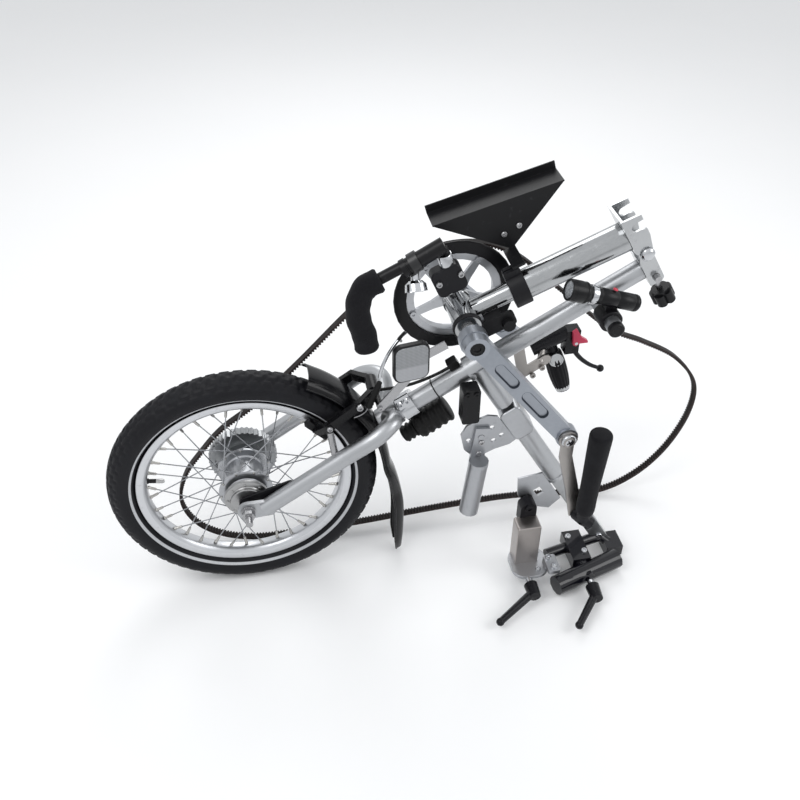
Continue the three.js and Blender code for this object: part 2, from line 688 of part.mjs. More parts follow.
const mastCollarRadius = 26;
const mastCollarLength = 24;
const mastCollarEar = 16;
function mastCollar() {
  const ring = rod(onMast(collarAt - mastCollarLength / 2), onMast(collarAt + mastCollarLength / 2),
    mastCollarRadius,
    mastCollarRadius, fine);
  const ear = block(onMast(collarAt, 0, mastCollarRadius), [mastCollarLength, mastCollarEar, mastCollarEar],
    mastAxis, axisY);
  const slit = block(onMast(collarAt, 0, mastCollarRadius), [mastCollarLength * 2, 2 * runningGap,
    mastCollarEar * 2],
    mastAxis, axisY);
  const wide = rod(onMast(collarAt - seatGap), onMast(collarAt + mastCollarLength), mastOuterRadius + seatGap,
    mastOuterRadius + seatGap, fine);
  const narrow = rod(onMast(collarAt - mastCollarLength), onMast(collarAt + overrun),
    mastInnerRadius + seatGap,
    mastInnerRadius + seatGap, fine);
  return cut(join(ring, ear), slit, wide, narrow);
}
piece('mast_collar', mastCollar(), blackCoat, mast);

const trayThickness = 2;
const trayCheekY = 38;
const trayDepth = 37;
const trayLeft = [-36, 118];
const trayRight = [141, 168];
const trayPoint = [77, 72];
const tabPastCollar = 12;
const trayFoldRadius = 3;
function guardTray() {
  const fromCrank = ([x, z]) => [crankCentreX + x, crankCentreZ + z];
  const cheek = wheelPlanePlate(outline([fromCrank(trayLeft), fromCrank(trayPoint), fromCrank(trayRight)]),
    trayCheekY,
    trayCheekY + trayThickness);
  const [lx, lz] = fromCrank(trayLeft);
  const [rx, rz] = fromCrank(trayRight);
  const along = vec(rx - lx, 0, rz - lz);
  const length = along.length();
  along.normalize();
  const middle = vec((lx + rx) / 2, trayCheekY + trayDepth / 2, (lz + rz) / 2);
  const top = block(middle, [length, trayDepth, trayThickness], along, axisY);
  const lipDown = block(step(vec((lx + rx) / 2, trayCheekY + trayDepth, (lz + rz) / 2),
    crossOf(axisY, along).negate(), trayFoldRadius * 2),
  [length, trayThickness, trayFoldRadius * 4], along, axisY);
  const tabLength = trayCheekY + mastCollarEar / 2;
  const tab = block(onMast(collarAt + tabPastCollar, trayCheekY - tabLength / 2 + trayThickness / 2,
    mastCollarRadius + mastCollarEar / 2 + seatGap + trayThickness),
  [trayFoldRadius * 6, tabLength, trayThickness * 2], mastAxis, axisY);
  return join(cheek, top, lipDown, tab);
}
piece('guard_tray', guardTray(), blackCoat, mast);

// Sliding part of the mast: inner tube and the crank housing welded across it.
const slideBody = bodyAt(crankCentre, mast);
const housingRadius = 20;
const housingHalf = 36;
const housingWaistRadius = 18;
const housingFlange = 8;
const crankAxleRadius = 9;
const innerTubeShort = 80;
const innerTubeEnd = mastLength - innerTubeShort;
function mastInner() {
  const tube = rod(crankCentre, onMast(innerTubeEnd), mastInnerRadius, mastInnerRadius, fine);
  const housing = turned([
    [0, -housingHalf], [housingRadius, -housingHalf], [housingRadius, -housingHalf + housingFlange],
    [housingWaistRadius, -housingHalf + housingFlange + runningGap],
    [housingWaistRadius, housingHalf - housingFlange - runningGap],
    [housingRadius, housingHalf - housingFlange], [housingRadius, housingHalf], [0, housingHalf],
  ], crankCentre, axisY, fine);
  return cut(join(tube, housing), rod(step(crankCentre, axisY, -housingHalf * 2), step(crankCentre, axisY,
    housingHalf * 2),
    crankAxleRadius + seatGap, crankAxleRadius + seatGap, fine));
}
piece('mast_inner', mastInner(), polishedMetal, slideBody);

const clampBlockSize = 42;
const clampBlockDepth = 18;
const clampBlockCorner = 9;
const clampBlockX = -27;
const clampBlockZ = 74;
const clampStubRadius = 13;
const supportY = -12;
const clampCentre = vec(crankCentreX + clampBlockX, supportY, crankCentreZ + clampBlockZ);
const stemRadius = 12;
const clampScrew = 4;
function clampBlock() {
  const body = plate(roundedOutline(clampBlockSize, clampBlockSize, clampBlockCorner), clampBlockDepth,
    vec(clampCentre.x, supportY - clampBlockDepth / 2, clampCentre.z), mastAxis, mastUp);
  const outwards = vec(0, -1, 0);
  const screws = [-1, 1].map((side) => screw(
    step(vec(clampCentre.x, supportY - clampBlockDepth, clampCentre.z), mastAxis, side * clampBlockSize * 0.3)
      .add(vec(0, 0, -clampBlockSize * 0.28)), outwards, clampScrew, clampScrew));
  const post = rod(vec(clampCentre.x, supportY - clampBlockDepth / 2, clampCentre.z - clampBlockSize / 3),
    step(crankCentre, vec(-0.34, 0, 0.94), housingWaistRadius - seatGap), stemRadius, stemRadius, medium);
  const stub = rod(vec(clampCentre.x, supportY - clampBlockDepth / 2, clampCentre.z + clampBlockSize / 4),
    vec(clampCentre.x - clampStubRadius / 2, supportY - clampBlockDepth / 2,
    clampCentre.z + clampBlockSize / 2 + clampStubRadius),
    clampStubRadius * 0.8, clampStubRadius * 0.8, medium);
  return cut(join(body, stub, post, ...screws),
    rod(step(crankCentre, axisY, -housingHalf * 2), step(crankCentre, axisY, housingHalf * 2),
      housingWaistRadius + seatGap, housingWaistRadius + seatGap, fine));
}
piece('clamp_block', clampBlock(), blackCoat, slideBody);

// Support handle: a black telescopic tube off the clamp block with a curved foam grip.
const supportOuterRadius = 11;
const supportInnerRadius = 8;
const supportSetBack = 8;
const supportLineY = supportY - supportSetBack;
const [supportStartAt, supportJointAt, supportElbowAt] = [[-34, 124], [-88, 94], [-136, 74]];
const fromCrank = ([x, z], y) => vec(crankCentreX + x, y, crankCentreZ + z);
const supportOuterStart = fromCrank(supportStartAt, supportLineY);
const supportJoint = fromCrank(supportJointAt, supportLineY);
const supportElbow = fromCrank(supportElbowAt, supportLineY);
const gripRadius = 17;
function supportTube() {
  const outer = rod(supportOuterStart, supportJoint, supportOuterRadius, supportOuterRadius, medium);
  const collar = rod(supportJoint.clone().lerp(supportOuterStart, 0.12), supportJoint,
    supportOuterRadius + seatGap * 5,
    supportOuterRadius + seatGap * 5, medium);
  const inner = rod(supportOuterStart, supportElbow, supportInnerRadius, supportInnerRadius, medium);
  const brace = rod(step(supportOuterStart, axisZ, -supportOuterRadius * 0.4),
    vec(clampCentre.x, supportLineY, clampCentre.z + clampBlockSize * 0.75), supportInnerRadius * 0.6,
    supportInnerRadius * 0.6, coarse);
  return cut(join(outer, collar, inner, brace), clampBlockGrown());
}
function clampBlockGrown() {
  const centre = vec(clampCentre.x, supportY - clampBlockDepth / 2, clampCentre.z);
  const topX = clampCentre.x - clampStubRadius / 2;
  return rod(vec(clampCentre.x, centre.y, clampCentre.z),
    vec(topX, centre.y, clampCentre.z + clampBlockSize / 2 + clampStubRadius + seatGap * 4),
    clampStubRadius * 0.8 + seatGap, clampStubRadius * 0.8 + seatGap, medium);
}
piece('support_tube', supportTube(), blackCoat, slideBody);

const supportGripBends = [[18.7, 0, 7.8], [-1, -2, -1], [-11, -6, -19], [-12, -10, -44], [-6, -14, -66],
  [-3, -18, -88]];
const supportGripSteps = 16;
function supportGrip() {
  const route = supportGripBends.map((bend) => supportElbow.clone().add(at(bend)));
  const foam = bentRod(route, gripRadius, supportGripSteps, 8);
  return cut(foam, rod(supportOuterStart, step(supportElbow,
    supportElbow.clone().sub(supportJoint).normalize(), seatGap),
    supportInnerRadius + seatGap, supportInnerRadius + seatGap, medium));
}
piece('support_grip', supportGrip(), foamBlack, slideBody);

const bellRadius = 15;
const bellHeight = 14;
const bellDrop = 26;
const bellForward = 4;
const bellBandThickness = 3;
const bellShare = 0.3;
const bellBandShare = 0.1;
const bellSeat = supportJoint.clone().lerp(supportOuterStart, bellShare);
const bellCentre = bellSeat.clone().add(vec(0, -bellForward, -bellDrop));
function bell() {
  const down = vec(0, -0.6, -0.8);
  const dome = turned([
    [0, 0], [bellRadius * 0.6, 0], [bellRadius * 0.92, bellHeight * 0.3], [bellRadius, bellHeight],
    [bellRadius * 0.86, bellHeight], [bellRadius * 0.8, bellHeight * 0.35], [0, bellHeight * 0.3],
  ], bellCentre, down, medium);
  const stem = rod(step(bellCentre, down, bellHeight * 0.2), bellSeat.clone()
    .add(vec(0, 0, -supportOuterRadius - seatGap)), bellRadius * 0.4, bellRadius * 0.4, coarse);
  const band = pipe(supportJoint.clone().lerp(supportOuterStart, bellShare - bellBandShare),
    supportJoint.clone().lerp(supportOuterStart, bellShare + bellBandShare),
    supportOuterRadius + bellBandThickness, supportOuterRadius + seatGap, medium);
  const reach = rod(bellCentre, bellSeat.clone().add(vec(0, 0, -supportOuterRadius - bellBandThickness / 2)),
    bellRadius * 0.3, bellRadius * 0.3, coarse);
  const collarRoom = rod(supportJoint.clone().lerp(supportOuterStart, 0.12 + seatGap / bellDrop),
    supportJoint.clone().lerp(supportElbow, 0.1), supportOuterRadius + seatGap * 6);
  return join(dome, cut(join(band, reach, stem), rod(supportOuterStart, supportJoint,
    supportOuterRadius + seatGap),
    collarRoom));
}
piece('bell', bell(), polishedMetal, slideBody);

// Tensioner plate under the mast, with its roller.
const tensionerLength = 56;
const tensionerWidth = 24;
const tensionerThickness = 5;
const tensionerY = -28;
const rollerRadius = 9;
const tensionerPast = 16;
const tensionerSeat = 3;
function tensioner() {
  const start = onMast(housingRadius + tensionerPast, tensionerY,
    -mastInnerRadius - tensionerWidth / 4);
  const body = plate(roundedOutline(tensionerLength, tensionerWidth, tensionerWidth / 4),
    tensionerThickness, start,
    mastAxis, mastUp);
  const rollerCentre = step(start, mastAxis, tensionerLength * 0.32).add(vec(0, 0, -tensionerWidth * 0.25));
  const roller = rod(rollerCentre, step(rollerCentre, axisY, -tensionerThickness * 2), rollerRadius,
    rollerRadius, medium);
  const mountTab = block(onMast(housingRadius + tensionerPast, tensionerY / 2 - mastInnerRadius / 2,
    -mastInnerRadius / 2 - tensionerSeat),
    [tensionerWidth, Math.abs(tensionerY) - mastInnerRadius + tensionerThickness, tensionerThickness],
    mastAxis, axisY);
  const clear = rod(crankCentre, onMast(innerTubeEnd), mastInnerRadius + seatGap,
    mastInnerRadius + seatGap, fine);
  const housing = rod(step(crankCentre, axisY, -housingHalf * 2), step(crankCentre, axisY, housingHalf * 2),
    housingRadius + seatGap, housingRadius + seatGap, fine);
  return cut(join(body, roller, mountTab), clear, housing);
}
piece('tensioner', tensioner(), blackCoat, slideBody);

// Crank: axle, toothed pulley on a spider, guard ring and the two arms, both pointing the same way.
const crank = bodyAt(crankCentre, slideBody);
const nearBossY = -63;
const farBossY = 78;
const armThickness = 16;
const crankAngle = Math.atan2(-154, 134);
const armReach = 197;
const armLean = Math.atan2(47, 197);
const bossRadius = 20;
const armEndRadius = 16;
const squareBossLength = 22;
const spiderThickness = 5;
const guardSeat = 1;
const guardOuter = 88;
const guardInner = 73.5;
const guardThickness = 3;
const spiderArms = 5;
const boltCircle = 64;
const ringInset = 6;
const ringLand = 5;
const pulleyTrim = 2;
const spiderRootHalf = 13;
const spiderTipHalf = 5;
const spiderWaistShares = [0.55, 0.7];
const spiderBoltRadius = 5;
const spiderBoltHeight = 3;
const spiderHubRadius = 17;
const spiderHubSet = 4;
const belowBeltPlane = 9.4;
const spiderY = beltPlaneY - belowBeltPlane;
function crankAxle() {
  return rod(vec(crankCentreX, nearBossY + armThickness / 2 + seatGap, crankCentreZ),
    vec(crankCentreX, farBossY - armThickness / 2 - seatGap, crankCentreZ), crankAxleRadius,
    crankAxleRadius, fine);
}
function frontPulley() {
  const ring = plate(toothedOutline(frontTeeth), pulleyWidth - pulleyTrim,
    vec(0, beltPlaneY + pulleyTrim / 2, 0), axisX, axisZ);
  const opening = rod(vec(0, 0, 0), vec(0, axleHalfLength, 0), boltCircle - ringInset,
    boltCircle - ringInset, ringSides);
  const arms = [];
  for (let i = 0; i < spiderArms; i += 1) {
    const angle = crankAngle + ((i + 0.5) * Math.PI * 2) / spiderArms;
    const shape = new THREE.Shape();
    const [waistAlong, waistHalf] = [boltCircle * spiderWaistShares[0], spiderTipHalf * spiderWaistShares[1]];
    shape.moveTo(0, -spiderRootHalf);
    shape.quadraticCurveTo(waistAlong, -waistHalf, boltCircle, -spiderTipHalf);
    shape.absarc(boltCircle, 0, spiderTipHalf, -Math.PI / 2, Math.PI / 2);
    shape.quadraticCurveTo(waistAlong, waistHalf, 0, spiderRootHalf);
    arms.push(plate(shape, spiderThickness, vec(0, spiderY + spiderThickness, 0), lean(angle),
      lean(angle + Math.PI / 2), 2));
    const boltAt = vec(boltCircle * Math.cos(angle), spiderY + spiderThickness / 2 + guardSeat,
      boltCircle * Math.sin(angle));
    arms.push(screw(boltAt, vec(0, -1, 0), spiderBoltRadius, spiderBoltHeight));
  }
  const hub = rod(vec(0, spiderY - spiderHubSet, 0), vec(0, beltPlaneY + pulleyWidth / 2, 0),
    spiderHubRadius, spiderHubRadius, fine);
  const band = cut(rod(vec(0, spiderY + spiderThickness / 2 + guardSeat, 0), vec(0, beltPlaneY, 0),
    boltCircle + ringLand,
    boltCircle + ringLand, ringSides),
    opening);
  const whole = cut(join(cut(ring, opening), band, hub, ...arms),
    rod(vec(0, 0, 0), vec(0, axleHalfLength, 0), crankAxleRadius + seatGap, crankAxleRadius + seatGap, fine));
  return whole.translate([crankCentreX, 0, crankCentreZ]);
}
piece('front_pulley', frontPulley(), bluedSatin, crank);

function guardRing() {
  const y = spiderY + spiderThickness / 2;
  return turned([
    [guardInner, y - guardThickness], [guardOuter - guardSeat, y - guardThickness], [guardOuter,
      y - guardThickness / 2],
    [guardOuter, y + guardSeat], [boltCircle + ringLand + seatGap * 2, y + guardSeat],
    [boltCircle + ringLand + seatGap * 2, y - guardThickness], [guardInner, y - guardThickness],
  ], crankCentre, axisY, ringSides);
}
piece('belt_guard_ring', guardRing(), blackCoat, crank);
piece('crank_axle', crankAxle(), brightSteel, crank);

// A crank arm: tapered bar that leans outward, with two oval recesses in its outer face.
const recessLengths = [44, 50];
const recessAt = [70, 131];
const recessWidth = 15;
const recessDepth = 4;
const armRootHalf = 15;
const armTipHalf = 13;
const capRadius = 10.5;
const armEnd = (side, bossY) => {
  const reach = Math.cos(armLean) * Math.hypot(armReach, Math.tan(armLean) * armReach);
  return vec(crankCentreX + reach * Math.cos(crankAngle), bossY + side * Math.tan(armLean) * armReach,
    crankCentreZ + reach * Math.sin(crankAngle));
};
function crankArm(side, bossY) {
  const start = vec(crankCentreX, bossY, crankCentreZ);
  const end = armEnd(side, bossY);
  const along = end.clone().sub(start);
  const length = along.length();
  along.normalize();
  const across = crossOf(along, vec(0, side, 0));
  const outward = crossOf(across, along).multiplyScalar(1);
  const facing = outward.y * side > 0 ? outward : outward.clone().negate();
  const shape = new THREE.Shape();
  shape.moveTo(0, -armRootHalf);
  shape.lineTo(length, -armTipHalf);
  shape.absarc(length, 0, armTipHalf, -Math.PI / 2, Math.PI / 2);
  shape.lineTo(0, armRootHalf);
  const bar = plate(shape, armThickness, start, along, across, 4);
  const boss = rod(vec(crankCentreX, bossY - armThickness / 2, crankCentreZ),
    vec(crankCentreX, bossY + armThickness / 2, crankCentreZ), bossRadius, bossRadius, medium);
  const outerBoss = rod(vec(crankCentreX, bossY, crankCentreZ),
    vec(crankCentreX, bossY + side * squareBossLength, crankCentreZ), bossRadius, bossRadius * 0.86, medium);
  const tip = rod(vec(end.x, end.y - armThickness / 2, end.z), vec(end.x, end.y + armThickness / 2, end.z),
    armEndRadius, armEndRadius, medium);
  const back = rod(vec(crankCentreX, bossY - side * armThickness / 2, crankCentreZ),
    vec(crankCentreX, bossY - side * armThickness * 4, crankCentreZ), bossRadius * 3, bossRadius * 3, coarse);
  const recesses = recessLengths.map((long, i) => {
    const oval = roundedOutline(long, recessWidth, recessWidth / 2 - seatGap);
    const centre = step(step(start, along, recessAt[i]), facing, armThickness / 2);
    return plate(oval, recessDepth * 2, centre, along, across, 3);
  });
  const capHole = rod(vec(crankCentreX, bossY + side * (squareBossLength - recessDepth), crankCentreZ),
    vec(crankCentreX, bossY + side * (squareBossLength + overrun), crankCentreZ), capRadius, capRadius,
    medium);
  const handleSeat = rod(vec(end.x, end.y + side * armThickness / 2, end.z), vec(end.x,
    end.y + side * armThickness * 2, end.z),
    armEndRadius * 1.5, armEndRadius * 1.5, medium);
  return cut(join(bar, boss, outerBoss, tip), back, ...recesses, capHole, handleSeat);
}
piece('near_crank_arm', crankArm(-1, nearBossY), bluedSatin, crank);
piece('far_crank_arm', crankArm(1, farBossY), bluedSatin, crank);

// Near handle: a bent steel strap on the end of the arm, carrying an upright foam grip.
const nearEnd = armEnd(-1, nearBossY);
const nearHandle = bodyAt(vec(nearEnd.x, nearEnd.y, nearEnd.z), crank);
const strapWidth = 19;
const strapThickness = 4;
const handleGap = 0.6;
const nearPivotFace = nearEnd.y - armThickness / 2 - handleGap;
const strapBends = [[0, 0, -32], [12, -10, -86], [20, -18, -134]];
const elbowOffset = [28, -43, -132];
const gripRise = 14;
const gripReach = [5, 0, 152];
const strapPlaces = [[0, 0, 0], ...strapBends].map((offset) =>
  vec(nearEnd.x, nearPivotFace - strapThickness / 2, nearEnd.z).add(at(offset)));
const elbowPoint = nearEnd.clone().add(at(elbowOffset));
const gripBase = elbowPoint.clone().add(vec(0, 0, gripRise));
const gripTop = gripBase.clone().add(at(gripReach));
const handGripRadius = 15.5;
const elbowRadius = 11;
function nearStrap() {
  const eye = rod(vec(nearEnd.x, nearPivotFace, nearEnd.z), vec(nearEnd.x, nearPivotFace - strapThickness,
    nearEnd.z),
    strapWidth * 0.72, strapWidth * 0.72, medium);
  const cap = rod(vec(nearEnd.x, nearPivotFace - strapThickness / 2, nearEnd.z),
    vec(nearEnd.x, nearPivotFace - strapThickness * 2.4, nearEnd.z), strapWidth * 0.52, strapWidth * 0.46,
    medium);
  const bars = strapPlaces.slice(1).map((place, i) => barBetween(strapPlaces[i], place, strapWidth,
    strapThickness, axisX));
  return join(eye, cap, ...bars);
}
function nearGrip() {
  const along = gripTop.clone().sub(gripBase).normalize();
  const length = gripTop.distanceTo(gripBase);
  const foam = turned([
    [0, 0], [handGripRadius * 0.8, 0], [handGripRadius * 0.86, length * 0.05], [handGripRadius * 0.84,
      length * 0.3],
    [handGripRadius * 0.94, length * 0.7], [handGripRadius, length * 0.93], [handGripRadius * 0.92, length],
    [0, length],
  ], gripBase, along, medium);
  return foam;
}
const elbowHeel = [11, -5, -8];
function nearElbow() {
  const along = gripTop.clone().sub(gripBase).normalize();
  const foot = strapPlaces[strapPlaces.length - 1];
  const strapLine = foot.clone().sub(strapPlaces[strapPlaces.length - 2]);
  const strapRoom = barBetween(strapPlaces[strapPlaces.length - 2], step(foot, strapLine.normalize(),
    strapThickness / 4),
    strapWidth + 2 * seatGap, strapThickness + 2 * seatGap, axisX);
  const gripRoom = rod(step(gripBase, along, -seatGap), gripTop, handGripRadius, handGripRadius, medium);
  return cut(join(rod(foot, elbowPoint, elbowRadius * 0.8, elbowRadius, coarse),
    rod(elbowPoint, elbowPoint.clone().add(at(elbowHeel)), elbowRadius, elbowRadius * 0.85, coarse),
    rod(elbowPoint, step(gripBase, along, -seatGap), elbowRadius, elbowRadius, coarse)), strapRoom, gripRoom);
}
piece('near_handle_strap', nearStrap(), wornSteel, nearHandle);
piece('near_handle_elbow', nearElbow(), blackCoat, nearHandle);
piece('near_handle_grip', nearGrip(), foamBlack, nearHandle);

// Far handle: strap, brake lever body with its sprung lever, red parking latch and twist shifter.
const farEnd = armEnd(1, farBossY);
const farHandle = bodyAt(vec(farEnd.x, farEnd.y, farEnd.z), crank);
const farPivotFace = farEnd.y + armThickness / 2 + handleGap;
const farStrapBends = [[18, -80], [55, -57]];
const fromFarEnd = (place) => farEnd.clone().add(at(place));
const farBarFrom = fromFarEnd([46.7, 10.6, -61.9]);
const farBarTo = fromFarEnd([56.7, 32, -37.4]);
const farBarRadius = 6;
const farBoltAt = [[34.7, -85.4], [49.7, -71.4]];
const farBoltRadius = 5;
const farBoltHeight = 4;
function farStrap() {
  const strapY = farPivotFace + strapThickness / 2;
  const places = [[0, 0], ...farStrapBends].map(([x, z]) => vec(farEnd.x + x, strapY, farEnd.z + z));
  const discs = places.map((place, i) => rod(step(place, axisY, -strapThickness / 2), step(place, axisY,
    strapThickness / 2),
    i === 0 ? strapWidth * 0.72 : strapWidth / 2, i === 0 ? strapWidth * 0.72 : strapWidth / 2, coarse));
  const bars = places.slice(1).map((place, i) => barBetween(places[i], place, strapWidth, strapThickness,
    crossOf(place.clone().sub(places[i]), axisY)));
  const bolts = farBoltAt.map(([x, z]) => screw(vec(farEnd.x + x, farPivotFace, farEnd.z + z), vec(0, -1,
    0), farBoltRadius, farBoltHeight));
  return join(...discs, ...bars, ...bolts, rod(farBarFrom, farBarTo, farBarRadius, farBarRadius, coarse));
}
piece('far_handle_strap', farStrap(), wornSteel, farHandle);

const sleeveEnds = [[35.7, 32, -46.9], [95.7, 32, -20.4]].map(fromFarEnd);
const sleeveRadius = 14;
const neckLength = 30;
const neckRadius = 11;
const shifterFrom = [75.7, 37, -62.4];
const shifterTo = [95.7, 15, -130.4];
const shifterRadius = 17;
const jawCentre = fromFarEnd([102.7, 29, -35.4]);
const jawSize = [24, 22, 46];
const leverThickness = 8;
const leverPinRadius = 2.5;
const leverPivot = fromFarEnd([107.2, 29, -50.9]);
const leverRoomSize = [34, 30];
const latchPivot = fromFarEnd([106.1, 14.2, -32.9]);
const latchThickness = 6.6;
const latchPinRadius = 2.2;
const shifterStart = fromFarEnd(shifterFrom);
const shifterAxis = fromFarEnd(shifterTo).sub(shifterStart).normalize();
function brakeBody() {
  const sleeve = rod(sleeveEnds[0], sleeveEnds[1], sleeveRadius, sleeveRadius, medium);
  const neck = rod(step(shifterStart, shifterAxis, -neckLength), step(shifterStart, shifterAxis, -seatGap),
    neckRadius,
    neckRadius, coarse);
  const room = block(step(leverPivot, axisX, leverThickness / 2), [leverRoomSize[0],
    leverThickness + runningGap,
    leverRoomSize[1]]);
  const jaw = cut(block(jawCentre, jawSize), room, rod(step(leverPivot, axisY, -jawSize[1]),
    step(leverPivot, axisY, jawSize[1]), leverPinRadius + seatGap, leverPinRadius + seatGap, coarse));
  const barLine = farBarTo.clone().sub(farBarFrom).normalize();
  const bore = rod(farBarFrom, step(farBarTo, barLine, seatGap), farBarRadius + seatGap,
    farBarRadius + seatGap,
    coarse);
  const pin = rod(latchPivot, step(latchPivot, axisY, latchThickness), latchPinRadius, latchPinRadius,
    coarse);
  return join(cut(join(sleeve, neck), bore), jaw, pin);
}
piece('brake_lever_body', brakeBody(), blackCoat, farHandle);

const leverBody = bodyAt(leverPivot, farHandle);
const leverBends = [[0, 0], [7, -13.5], [20, -30], [38, -45], [57, -55]];
const leverBallRadius = 6.5;
const leverEyeRadius = 6;
function brakeLever() {
  const points = leverBends.map(([x, z]) => leverPivot.clone().add(vec(x, 0, z)));
  const half = leverThickness / 2;
  const eye = rod(step(leverPivot, axisY, -half), step(leverPivot, axisY, half), leverEyeRadius,
    leverEyeRadius, coarse);
  const pin = rod(step(leverPivot, axisY, -jawSize[1] / 2), step(leverPivot, axisY, jawSize[1] / 2),
    leverPinRadius,
    leverPinRadius, coarse);
  return join(bentRod(points, half - seatGap, 8, 6), eye, pin, ball(points[points.length - 1],
    leverBallRadius, coarse));
}
piece('brake_lever', brakeLever(), blackCoat, leverBody);

const latchBody = bodyAt(latchPivot, farHandle);
const latchPlaces = [[-7.9, 22.3], [-0.8, 27.3], [8, 12.1], [19.5, 3.4], [20.1, -0.7], [6.1, -0.8], [-0.2,
  -5.6],
  [-5.4, -2.8]];
function parkingLatch() {
  const bore = rod(step(latchPivot, axisY, -latchThickness), step(latchPivot, axisY, latchThickness),
    latchPinRadius + seatGap, latchPinRadius + seatGap, coarse);
  return cut(plate(outline(latchPlaces), latchThickness, latchPivot, axisX, axisZ), bore);
}
piece('parking_latch', parkingLatch(), redPlastic, latchBody);

const shifter = bodyAt(shifterStart, farHandle);
const shifterLength = fromFarEnd(shifterTo).distanceTo(shifterStart);
const shifterShares = [[0.86, 0], [1, 0.3], [0.98, 0.6], [0.72, 1]];
piece('twist_shifter', turned([
  [0, 0], ...shifterShares.map(([wide, along]) => [shifterRadius * wide, shifterLength * along]), [0,
    shifterLength],
], shifterStart, shifterAxis, medium), blackCoat, shifter);

// Mudguard over the crown side of the wheel: a curved blade with rolled edges.
const guardClearance = 15.4;
const guardRadius = wheelRadius + guardClearance;
const guardHalfWidth = 28;
const guardWall = 1.8;
const guardCrown = 3;
const guardEdgeDrop = 9;
const guardFrom = THREE.MathUtils.degToRad(6);
const guardTo = THREE.MathUtils.degToRad(61);
const guardSteps = 12;
const flapBends = [[-2.4, 26], [9.6, -20], [21.6, -90], [18.6, -190]];
const flapPlaces = flapBends.map(([out, z]) => [guardRadius + out, z]);
const flapWidth = 40;
const flapThickness = 2.4;
function mudguard() {
  const section = [[-1, -guardEdgeDrop], [-0.8, 0], [0, guardCrown], [0.8, 0], [1, -guardEdgeDrop]];
  const profile = [...section.map(([share, r]) => [guardRadius + r + guardWall, share * guardHalfWidth]),
    ...section.slice().reverse().map(([share, r]) => [guardRadius + r, share * guardHalfWidth])];
  const points = [...profile, profile[0]].map(([r, y]) => new THREE.Vector2(r, y));
  const ring = solidOf(new THREE.LatheGeometry(points, 54));
  const wedge = new THREE.Shape();
  wedge.moveTo(0, 0);
  const reach = guardRadius * 2;
  for (let i = 0; i <= guardSteps; i += 1) {
    const angle = guardFrom + ((guardTo - guardFrom) * i) / guardSteps;
    wedge.lineTo(reach * Math.cos(angle), reach * Math.sin(angle));
  }
  const keep = wheelPlanePlate(wedge, -guardHalfWidth * 2, guardHalfWidth * 2);
  const flap = flapPlaces.slice(1).map(([x, z], i) => barBetween(
    vec(flapPlaces[i][0], 0, flapPlaces[i][1]), vec(x, 0, z), flapWidth, flapThickness, axisY));
  return join(ring.intersect(keep), ...flap);
}
piece('mudguard', mudguard(), glossBlack);

// Belt: one toothed loop, hanging slack between the hub and the crank pulley.
const beltRoute = [
  [-106, -78], [-92, -24], [-63, 18], [-28, 58], [22, 96], [92, 162], [168, 240], [232, 300],
  [292, 334], [352, 338], [410, 314], [486, 245], [579, 160], [632, 132], [694, 92], [738, 34], [742, -28],
  [712, -110], [664, -164], [606, -190], [520, -182], [440, -174], [370, -174], [280, -178], [195, -184],
  [76, -188], [4, -186], [-48, -168], [-88, -132],
];
const beltBackStride = 4;
function beltLoop() {
  const route = new THREE.CatmullRomCurve3(beltRoute.map(([x, z]) => vec(x, 0, z)), true, 'centripetal');
  const teeth = Math.round(route.getLength() / beltPitch);
  route.arcLengthDivisions = teeth * 4;
  route.updateArcLengths();
  const outer = [];
  const inner = [];
  for (let i = 0; i < teeth; i += 1) {
    const placeAt = (share, deep) => {
      const tangent = route.getTangentAt(share);
      const place = step(route.getPointAt(share), vec(tangent.z, 0, -tangent.x), deep);
      return [place.x, place.z];
    };
    if (i % beltBackStride === 0) outer.push(placeAt(i / teeth, -beltBack / 2));
    inner.push(placeAt(i / teeth, beltBack / 2), placeAt((i + 0.5) / teeth, beltBack / 2 + toothDepth));
  }
  const back = wheelPlanePlate(outline(outer), beltPlaneY - beltWidth / 2, beltPlaneY + beltWidth / 2);
  return cut(back, wheelPlanePlate(outline(inner), beltPlaneY - beltWidth, beltPlaneY + beltWidth));
}
piece('toothed_belt', beltLoop(), beltRubber);

// Reflector on a bent strap over the fork crown.
const reflectorCentre = [241, -56.7, 229];
const reflectorSize = [50, 68, 10];
const reflectorCorner = 12;
piece('reflector', plate(roundedOutline(reflectorSize[0], reflectorSize[1], reflectorCorner),
  reflectorSize[2],
  at(reflectorCentre), axisX, axisZ, 4), clearPlastic);

const reflectorStrapPlaces = [[199, -50, 150], [231, -50, 188], [262, -50, 232], [290, -50, 246]];
const reflectorStrapWidth = 13;
const reflectorStrapThickness = 2.6;
const reflectorScrewRadius = 4;
function reflectorBracket() {
  const places = reflectorStrapPlaces.map(at);
  const bars = places.slice(1).map((place, i) => {
    const along = place.clone().sub(places[i]).normalize();
    return barBetween(places[i], place, reflectorStrapWidth, reflectorStrapThickness, crossOf(along, axisY));
  });
  const foot = screw(step(places[0], axisY, -reflectorStrapThickness / 2), vec(0, -1, 0),
    reflectorScrewRadius,
    reflectorStrapThickness);
  return join(...bars, foot);
}
piece('reflector_bracket', reflectorBracket(), brightSteel);

